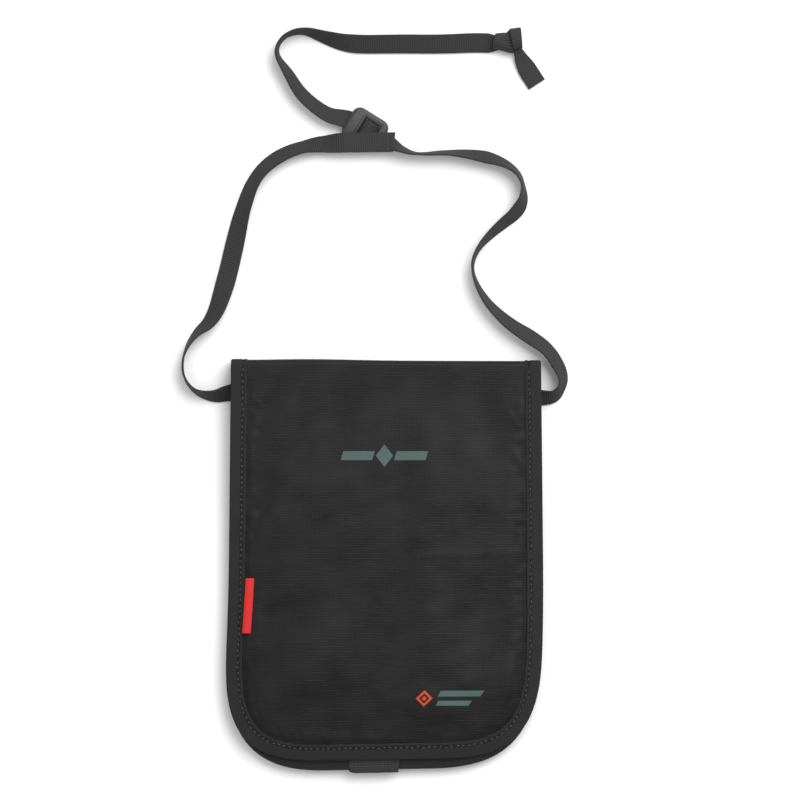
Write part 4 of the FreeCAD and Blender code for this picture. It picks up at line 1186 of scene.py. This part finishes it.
def binding_stitches(name, outline, height, seed, body, stands_for):
    """A row of stitches at a fixed inset from the edge, each a little out of line."""
    line = edge_line(*outline, 88.0, STITCH_INSET, 1400)
    places, ahead = spaced(with_height(line, height(line)), STITCH_PITCH)
    random = np.random.default_rng(seed)
    places[:, :2] += random.normal(0, 0.17, (len(places), 2))
    places[:, 2] += random.normal(-0.03, 0.06, len(places))
    ahead += random.normal(0, 0.20, (len(places), 3)) * np.linalg.norm(ahead, axis=1)[:, None]
    add_stitches(name, [stitch_row(places, ahead, UP, 1.5, 0.6, 0.4)], body, stands_for)
    print(name, len(places), "stitches")


binding_stitches("flap_edge_stitches", FLAP, lambda line: on_flap(FLAP_TAPE_TOP, line) - 0.02, 21, "flap",
                 "flap_thread")
binding_stitches("body_edge_stitches", BODY, lambda line: pinched(BODY_TOP_LEVEL, line) - 0.05, 22, "pouch",
                 "body_thread")

# %% [markdown]
# ## What is sewn on the flap
# A small folded label is caught at the left binding, and a webbing tab below the lower edge opens the flap. Each
# is one ribbon that goes out, turns over and comes back under itself. The two printed marks are plain shapes,
# drawn as thin sheets that follow the cloth.

# %% Side label
LABEL_LOW, LABEL_HIGH = -30.5, -5.9
LABEL_UP = (LABEL_LOW + LABEL_HIGH) / 2
LABEL_ROOT, LABEL_TIP = -63.0, -59.5
LABEL_TURN = LABEL_TIP - 0.2


def label_height(across, above):
    """Over the binding's leaf at its root, then down on to the cloth at its tip."""
    places = np.stack([across, np.full(len(across), LABEL_UP)], 1)
    on_cloth = flap_height(places) + 0.1
    share = smooth_step((across - LABEL_ROOT) / (LABEL_TIP - LABEL_ROOT) * 1.3 - 0.2)
    return on_flap(FLAP_TAPE_TOP, places) * (1 - share) + on_cloth * share + above


top_x = np.linspace(LABEL_ROOT, LABEL_TURN, 16)
low_x = np.linspace(LABEL_TURN, LABEL_ROOT + 0.4, 14)
label_x = np.r_[top_x, LABEL_TIP + 0.05, low_x]
label_dome = 0.45 * np.sin(math.pi * (top_x - LABEL_ROOT) / (LABEL_TURN - LABEL_ROOT))
label_z = np.r_[label_height(top_x, 0.72) + label_dome, label_height(np.array([LABEL_TURN]), 0.47),
                label_height(low_x, 0.24)]
label_line = np.stack([label_x, np.full(len(label_x), LABEL_UP), label_z], 1)
label_side = np.broadcast_to(np.array([0, -1.0, 0]), label_line.shape)
rings, surface = ribbon(label_line, label_side, LABEL_HIGH - LABEL_LOW, 0.42, rib=0.0)
rings[..., 0] += 0.045 * (rings[..., 1] - LABEL_UP)
side_tag = add_settled("side_tag", swept(rings), "flap", "label_cloth", "side_label", surface, sharp=60)
print("label", [round(v / MM, 1) for v in side_tag.dimensions])

# %% Pull tab
TAB_LEFT, TAB_RIGHT = -12.9, 9.4
TAB_MIDDLE = (TAB_LEFT + TAB_RIGHT) / 2
TAB_TIP = -92.9
TAB_LEVEL = 9.36
tab_out = np.linspace(-75.0, TAB_TIP + 0.3, 60)
tab_back = np.linspace(TAB_TIP + 0.3, -82.0, 40)


def tab_height(up, level):
    """Height of the tab's webbing: it droops a little beyond the body's edge."""
    places = np.stack([np.full(len(up), TAB_MIDDLE), up], 1)
    return pinched(level, places) - 0.5 * smooth_step((-90.5 - up) / 2.5)


tab_up = np.r_[tab_out, TAB_TIP, tab_back]
tab_z = np.r_[tab_height(tab_out, TAB_LEVEL), tab_height(np.array([TAB_TIP]), TAB_LEVEL - 0.2),
              tab_height(tab_back, TAB_LEVEL - 0.4)]
tab_line = np.stack([np.full(len(tab_up), TAB_MIDDLE), tab_up, tab_z], 1)
tab_side = np.broadcast_to(np.array([-1.0, 0, 0]), tab_line.shape)
rings, surface = ribbon(tab_line, tab_side, TAB_RIGHT - TAB_LEFT, 0.36, rib=0.10)
near_corner = smooth_step((rings[..., 0] - TAB_LEFT) / 2.0)
rings[..., 1] += (1 - near_corner) * 0.9 * smooth_step((-90.0 - rings[..., 1]) / 2.0)
pull_webbing = add_settled("pull_webbing", swept(rings), "flap", "webbing", "pull_tab", surface, sharp=60)

tab_rows = []
for row_up in (-88.7, -90.0):
    line = np.array([[TAB_LEFT + 0.8, row_up, 0], [TAB_RIGHT - 0.8, row_up, 0]])
    line[:, 2] = tab_height(line[:, 1], TAB_LEVEL) + 0.2
    tab_rows.append(stitch_row(*spaced(line, 1.5), UP, 1.25, 0.45, 0.3))
add_stitches("pull_webbing_stitches", tab_rows, "flap")
print("tab", [round(v / MM, 1) for v in pull_webbing.dimensions])


# %% Printed marks
def printed(name, quads, box, finish_name, stands_for=()):
    """Flat shapes on the cloth: each is a four-cornered grid whose places mix its corners, in shares of a box that
    is given by its left, its lower side, its width and its height."""
    left, low, width, tall = box
    shapes = []
    for corners in quads:
        a, b, c, d = [np.array([left + x * width, low + y * tall]) for x, y in corners]
        u = np.linspace(0, 1, 22)[None, :, None]
        v = np.linspace(0, 1, 12)[:, None, None]
        flat = (1 - v) * ((1 - u) * a + u * b) + v * ((1 - u) * d + u * c)
        shapes.append(closed_sheet(with_height(flat, flap_height(flat) + 0.07), 0.12))
    print(name, "has", len(quads), "shapes")
    return add_settled(name, joined(shapes), "flap", finish_name, stands_for, slot="print_ink")


UPPER_BOX = (-20.2, 43.8, 39.0, 10.0)
LOWER_BOX = (14.9, -63.2, 30.4, 7.5)
printed("upper_mark", [[(0.0, 0.30), (0.36, 0.30), (0.39, 0.70), (0.03, 0.70)],
                       [(0.5, 0.0), (0.6, 0.5), (0.5, 1.0), (0.4, 0.5)],
                       [(0.61, 0.30), (0.97, 0.30), (1.0, 0.70), (0.64, 0.70)]],
        UPPER_BOX, "print_ink", "front_print")
printed("lower_mark", [[(0.32, 0.6), (0.94, 0.6), (1.0, 0.95), (0.36, 0.95)],
                       [(0.3, 0.05), (0.78, 0.05), (0.82, 0.35), (0.33, 0.35)]],
        LOWER_BOX, "print_ink", "corner_print")
printed("lower_lozenge", [[(0.0, 0.5), (0.125, 0.0), (0.125, 0.2), (0.05, 0.5)],
                          [(0.125, 0.0), (0.25, 0.5), (0.2, 0.5), (0.125, 0.2)],
                          [(0.25, 0.5), (0.125, 1.0), (0.125, 0.8), (0.2, 0.5)],
                          [(0.125, 1.0), (0.0, 0.5), (0.05, 0.5), (0.125, 0.8)],
                          [(0.085, 0.5), (0.125, 0.34), (0.165, 0.5), (0.125, 0.66)]],
        LOWER_BOX, "orange_ink")

# %% [markdown]
# ## Under the flap
# The flap's inner side is a grey lining with a strip of hook tape, and a thin shielding foil lies between the
# lining and the shell. All of them follow the flap's own height, so that they stay together.


# %% Flap lining, foil and hook tape
def lay_panel(name, grid, height, thickness, body, finish_name, stands_for=(), face_down=False):
    """A flat panel laid at a height: its grid becomes the face that shows, up or down."""
    placed = with_height(grid, height)
    if face_down:
        placed, grid = placed[::-1], grid[::-1]
    return add_settled(name, closed_sheet(placed, thickness), body, finish_name, stands_for, sheet_map(grid), 60)


def declare_sheet(piece, grid):
    """Prints a flat panel's cut size, its pattern's width and length, and its flat area: the sum of the pattern's
    small quads, each half the cross product of its diagonals."""
    size = np.ptp(grid.reshape(-1, 2), axis=0) * MM
    one, two = grid[1:, 1:] - grid[:-1, :-1], grid[1:, :-1] - grid[:-1, 1:]
    area = float(np.abs(one[..., 0] * two[..., 1] - one[..., 1] * two[..., 0]).sum()) / 2 * MM ** 2
    min(area, float(size.prod()))
    print(piece.name, "is cut", [round(v, 4) for v in size.tolist()], "m, area", round(area, 5), "square metres")


def block(left, right, low, high, step=1.6):
    """A rectangular grid of places."""
    across = np.linspace(left, right, max(4, int((right - left) / step)))
    up = np.linspace(low, high, max(4, int((high - low) / step)))
    return np.stack(np.broadcast_arrays(across[None, :], up[:, None]), -1).astype(float)


under_grid = panel_grid(*FLAP, FOLD_START - 0.3, 1.4, 118, 134)
flap_lining = lay_panel("flap_inner_lining", under_grid, flap_height(under_grid, 9.86, 0.2), 0.28, "flap",
                        "lining_cloth", "flap_lining", face_down=True)
flap_foil = lay_panel("flap_foil", under_grid, flap_height(under_grid, 10.4, 0.35), 0.12, "flap",
                      "shield_foil", "flap_shield_foil")
PATCH = (-25, 25, -70, -54)
hook_grid = block(*PATCH, 0.8)
hook_rough = 0.05 * waves_noise(hook_grid[..., 0], hook_grid[..., 1], 31, 1.8)
lay_panel("hook_tape", hook_grid, flap_height(hook_grid, 9.5) + hook_rough, 0.36, "flap", "hook_and_loop",
          "hook_patch", face_down=True)
declare_sheet(flap_foil, under_grid)
declare_sheet(flap_lining, under_grid)

# %% [markdown]
# ## The body's walls
# The back's foil and lining, two card slots, the wall of the zip pocket and the front are panels of the same
# outline. The front is cut in two along the zip, and each cut edge is turned under, which shows as a low ridge.

# %% Back foil, lining and card slots
WALL_INSET = 1.3
LINING = 0.28
back_panel_grid = panel_grid(*BODY, 88.0, WALL_INSET, 70, 84)
back_foil = lay_panel("back_foil", back_panel_grid, pinched(0.98, back_panel_grid), 0.14, "pouch",
                      "shield_foil", "back_shield_foil")
back_inner = lay_panel("back_inner_lining", back_panel_grid, pinched(1.3, back_panel_grid), LINING, "pouch",
                       "lining_cloth", "back_lining")


def turned_edge(grid, edge_up, depth=1.6, rise=0.16):
    """A low ridge where cloth is turned under along a straight edge."""
    return rise * (1 - smooth_step(np.abs(grid[..., 1] - edge_up) / depth))


CARD_HALF, CARD_TALL = 48, 58
for slot_name, node, low, level in (("card_pocket_rear", "card_slot_rear", -48.0, 1.6),
                                    ("card_pocket_front", "card_slot_front", -62.0, 1.9)):
    slot_grid = block(-CARD_HALF, CARD_HALF, low, low + CARD_TALL, 1.2)
    sag = (0.10 * np.sin(math.pi * (slot_grid[..., 0] + CARD_HALF) / (2 * CARD_HALF))
           * smooth_step((slot_grid[..., 1] - low) / CARD_TALL))
    card_pocket = lay_panel(slot_name, slot_grid, level + sag + turned_edge(slot_grid, low + CARD_TALL), LINING,
                            "pouch", "lining_cloth", node)
    declare_sheet(card_pocket, slot_grid)
divider_grid = panel_grid(*BODY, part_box("divider_panel")[1].y / MM, WALL_INSET, 70, 84)
pocket_wall = lay_panel("pocket_wall", divider_grid, pinched(6.48, divider_grid), 0.26, "pouch",
                        "lining_cloth", "divider_panel")
declare_sheet(back_foil, back_panel_grid)
declare_sheet(back_inner, back_panel_grid)
declare_sheet(pocket_wall, divider_grid)

# %% Front panels
FRONT_LEVEL = 8.0
FRONT_CLOTH = 0.38
ZIP_EDGES = (46.0, 58.0)
UPPER_TOP = 74.0
HEM_STITCH = (1.9, 0.45, 0.3)


def front_height(grid):
    """The front's face: pinched at the edge, sunk a little by the binding and softly uneven elsewhere."""
    inside = edge_distance(grid)
    soft = 0.10 * waves_noise(grid[..., 0], grid[..., 1], 41, 17.0) * smooth_step((inside - 12) / 8)
    under = -0.42 * (1 - smooth_step((inside - 6.6) / 1.6))
    return pinched(FRONT_LEVEL, grid) + soft + under


lower_grid = panel_grid(*BODY, ZIP_EDGES[0], WALL_INSET, 108, 108)
lower_height = front_height(lower_grid) + turned_edge(lower_grid, ZIP_EDGES[0])
front_lower = lay_panel("front_lower", lower_grid, lower_height, FRONT_CLOTH, "pouch", "shell_cloth",
                        "front_panel_lower")
share = np.linspace(-1, 1, 108)[None, :]
upper_up = np.linspace(ZIP_EDGES[1], UPPER_TOP, 26)[:, None]
upper_grid = np.stack(np.broadcast_arrays(share * (half_width(upper_up) - WALL_INSET), upper_up), -1)
upper_height = (front_height(upper_grid) + turned_edge(upper_grid, ZIP_EDGES[1])
                + turned_edge(upper_grid, UPPER_TOP, 2.2))
front_upper = lay_panel("front_upper", upper_grid, upper_height, FRONT_CLOTH, "pouch", "shell_cloth",
                        "front_panel_upper")
hem_rows = []
for row_up in (44.4, 59.6, 71.9):
    line = even_line(np.array([[-66, row_up], [66, row_up]], float), 240)
    # no stitches under the binding
    line = line[edge_distance(line) > 7.8]
    row = spaced(with_height(line, front_height(line) + 0.06), STITCH_PITCH)
    hem_rows.append(stitch_row(*row, UP, *HEM_STITCH))
add_stitches("front_hem_stitches", hem_rows, "pouch")
declare_sheet(front_lower, lower_grid)
declare_sheet(front_upper, upper_grid)

# %% [markdown]
# ## The zip
# A coil zip lies in the opening between the two front panels. Each tape has one row of short rounded teeth, and
# the rows mesh along the middle. The slider is two shaped plates joined by a post at the nose, with a bridge that
# holds the pull.

# %% Zip tapes and teeth
ZIP_UP = 52.0
ZIP_HALF = 54.0
TEETH_LEVEL = 7.98
TOOTH_PITCH = 1.3
for tape_name, node in (("lower_zip_tape", "zip_tape_lower"), ("upper_zip_tape", "zip_tape_upper")):
    low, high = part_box(node)
    tape_grid = block(low.x / MM, high.x / MM, low.y / MM, high.y / MM, 0.9)
    lay_panel(tape_name, tape_grid, np.full(tape_grid.shape[:2], high.z / MM), 0.26, "pouch", "zip_tape", node)
for row_name, node, side in (("lower_coil", "zip_teeth_lower", -1), ("upper_coil", "zip_teeth_upper", 1)):
    # the upper row's teeth stand between the lower row's
    across = np.arange(-ZIP_HALF + 2 + (0.5 * TOOTH_PITCH if side > 0 else 0), ZIP_HALF - 1.5, TOOTH_PITCH)
    places = with_height(np.stack([across, np.full(len(across), ZIP_UP + side * 1.75)], 1),
                         np.full(len(across), TEETH_LEVEL))
    aslant = np.broadcast_to(np.array([0.12, 1.0, 0]), places.shape)
    add_piece(row_name, stitch_row(places, aslant, UP, 2.3, 0.72, 0.72), "pouch", "zip_teeth", node, sharp=180)
stops = [bar((across, ZIP_UP - 1.9), (across, ZIP_UP + 1.9), 0.75, 0.36, TEETH_LEVEL)
         for across in (0.6 - ZIP_HALF, ZIP_HALF - 0.6)]
add_piece("zip_stops", joined(stops), "pouch", "slider_metal", "zip_end_stops")
print("zip", round(2 * ZIP_HALF), "mm")


# %% Slider and pull
def moulding(outline, low, high, rounding=0.25, steps=5):
    """A plate with rounded edges: the outline at several heights, drawn in near the top and bottom by a quarter
    of a circle."""
    turn = np.linspace(-math.pi / 2, math.pi / 2, 2 * steps)
    heights = np.where(turn < 0, low + rounding, high - rounding) + rounding * np.sin(turn)
    middle = outline.mean(0)
    size = np.linalg.norm(outline - middle, axis=1).mean()
    drawn_in = 1 - rounding * (1 - np.cos(turn)) / size
    rings = middle + (outline - middle)[None] * drawn_in[:, None, None]
    return swept(with_height(rings, np.broadcast_to(heights[:, None], rings.shape[:2])))


SLIDER_LOW, SLIDER_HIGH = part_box("zip_slider")
slider_middle = np.array([(SLIDER_LOW.x + SLIDER_HIGH.x) / 2, (SLIDER_LOW.y + SLIDER_HIGH.y) / 2]) / MM
slider_half = np.array([(SLIDER_HIGH.x - SLIDER_LOW.x) / 2, (SLIDER_HIGH.y - SLIDER_LOW.y) / 2]) / MM
turn = np.linspace(0, 2 * math.pi, 48, endpoint=False)
circle = np.stack([np.cos(turn), np.sin(turn)], 1)
# the plate is a rounded rectangle, narrower towards its tail
shield = np.stack([signed_power(circle[:, 0], 0.7) * slider_half[0],
                   signed_power(circle[:, 1], 0.7) * slider_half[1]
                   * (1 - 0.22 * np.clip(-circle[:, 0], 0, 1))], 1) + slider_middle
low_z, top_z = SLIDER_LOW.z / MM, 8.95
pin = np.array([49.2, ZIP_UP])
slider_shape = joined([moulding(shield, low_z, low_z + 0.4, 0.15), moulding(shield, top_z - 0.42, top_z, 0.2),
                       moulding(circle * (1.0, 0.35) + slider_middle + (2.9, 0), low_z + 0.2, top_z - 0.2, 0.1),
                       moulding(circle * 0.62 + pin, top_z - 0.3, 9.6, 0.12)])
slider = add_piece("slider_body", slider_shape, "zip_slider", "slider_metal", "zip_slider")

PULL_LEVEL = 9.3
pull_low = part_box("zip_pull")[0].y / MM
ring_rings = upright_rings(with_height(circle * 1.55 + pin, np.full(len(circle), PULL_LEVEL)),
                           with_height(circle, np.zeros(len(circle))), section(12, 0.7), 0.6, 0.26)
# the grip widens below the ring and is rounded at its end
grip_up = np.linspace(ZIP_UP - 1.6, pull_low + 0.2, 40)
grip_half = 1.5 + 0.7 * smooth_step((ZIP_UP - 2 - grip_up) / 7)
grip_half = grip_half * np.sqrt(np.clip(1 - np.clip((pull_low + 1.4 - grip_up) / 1.25, 0, 1) ** 2, 0.02, 1))
grip_line = np.stack([np.full(len(grip_up), pin[0]), grip_up, np.full(len(grip_up), PULL_LEVEL)], 1)
grip_side = np.broadcast_to(np.array([-1.0, 0, 0]), grip_line.shape)
grip_rings = ribbon(grip_line, grip_side, 2 * grip_half, 0.5, rib=0.10, pitch=1.3)[0]
pull = add_piece("slider_pull", joined([swept(ring_rings, closed=True), swept(grip_rings)]), "zip_pull",
                 "slider_metal", "zip_pull")
for part in (slider, pull):
    print(part.name, [round(v / MM, 1) for v in part.dimensions], "mm")

# %% [markdown]
# ## Window and closure
# A clear film behind a sewn border holds a card on the front, and the loop half of the closure is sewn below it.

# %% Window and loop tape
WINDOW_MIDDLE = (0.0, -7.0)
border_path = rounded_rectangle(49.5, 36.5, 3.2, 12) + WINDOW_MIDDLE
border_path = even_line(np.concatenate([border_path, border_path[:1]]), 400)[:-1]
outward = level_right(ahead_along(border_path, closed=True))[:, :2]
BORDER_HALF = 2.5
across, up = section(16, 0.3)
flat = border_path[:, None] + outward[:, None] * (across * BORDER_HALF)[None, :, None]
border_height = front_height(flat) + 0.40 + (up * 0.2)[None]
add_settled("window_tape", swept(with_height(flat, border_height), closed=True), "pouch", "binding_tape",
            "window_border", tape_map(STITCH_INSET + across * BORDER_HALF, up * 0.2, length_along(border_path)))
film_grid = block(-47.5, 47.5, -44, 30, 2.0)
film_wave = 0.03 * waves_noise(film_grid[..., 0], film_grid[..., 1], 51, 24.0)
lay_panel("clear_window", film_grid, front_height(film_grid) + 0.44 + film_wave, 0.12, "pouch", "window_film",
          "id_window")


def front_stitches(name, path, above):
    """A row of stitches along a closed path on the front."""
    row = spaced(with_height(path, front_height(path) + above), STITCH_PITCH)
    add_stitches(name, [stitch_row(*row, UP, *HEM_STITCH)], "pouch")


front_stitches("window_stitches", border_path, 0.61)
loop_grid = block(*PATCH, 0.7)
# the pile stands highest inside the patch and falls off at its rim
edge_in = np.minimum(25 - np.abs(loop_grid[..., 0]), 8 - np.abs(loop_grid[..., 1] + 62))
pile = (0.75 * smooth_step(edge_in / 1.5) + 0.3
        + 0.10 * waves_noise(loop_grid[..., 0], loop_grid[..., 1], 61, 1.6) * smooth_step(edge_in / 2))
lay_panel("loop_tape", loop_grid, front_height(loop_grid) + pile, 0.6, "pouch", "hook_and_loop", "loop_patch")
patch_line = rounded_rectangle(24.2, 7.2, 0.8, 5) + (0.0, -62.0)
front_stitches("loop_stitches", even_line(np.concatenate([patch_line, patch_line[:1]]), 300), 0.62)
print("window and closure done")

# %% [markdown]
# ## The CAD nodes left shown
# A list of the CAD nodes that no new piece hides. The model must stay in the CAD model's box,
# apart from the little that cloth may stand proud.

# %% CAD nodes still shown
shown = [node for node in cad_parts.values() if not node.hide_render]
print("CAD nodes still shown:", [node.name for node in shown])
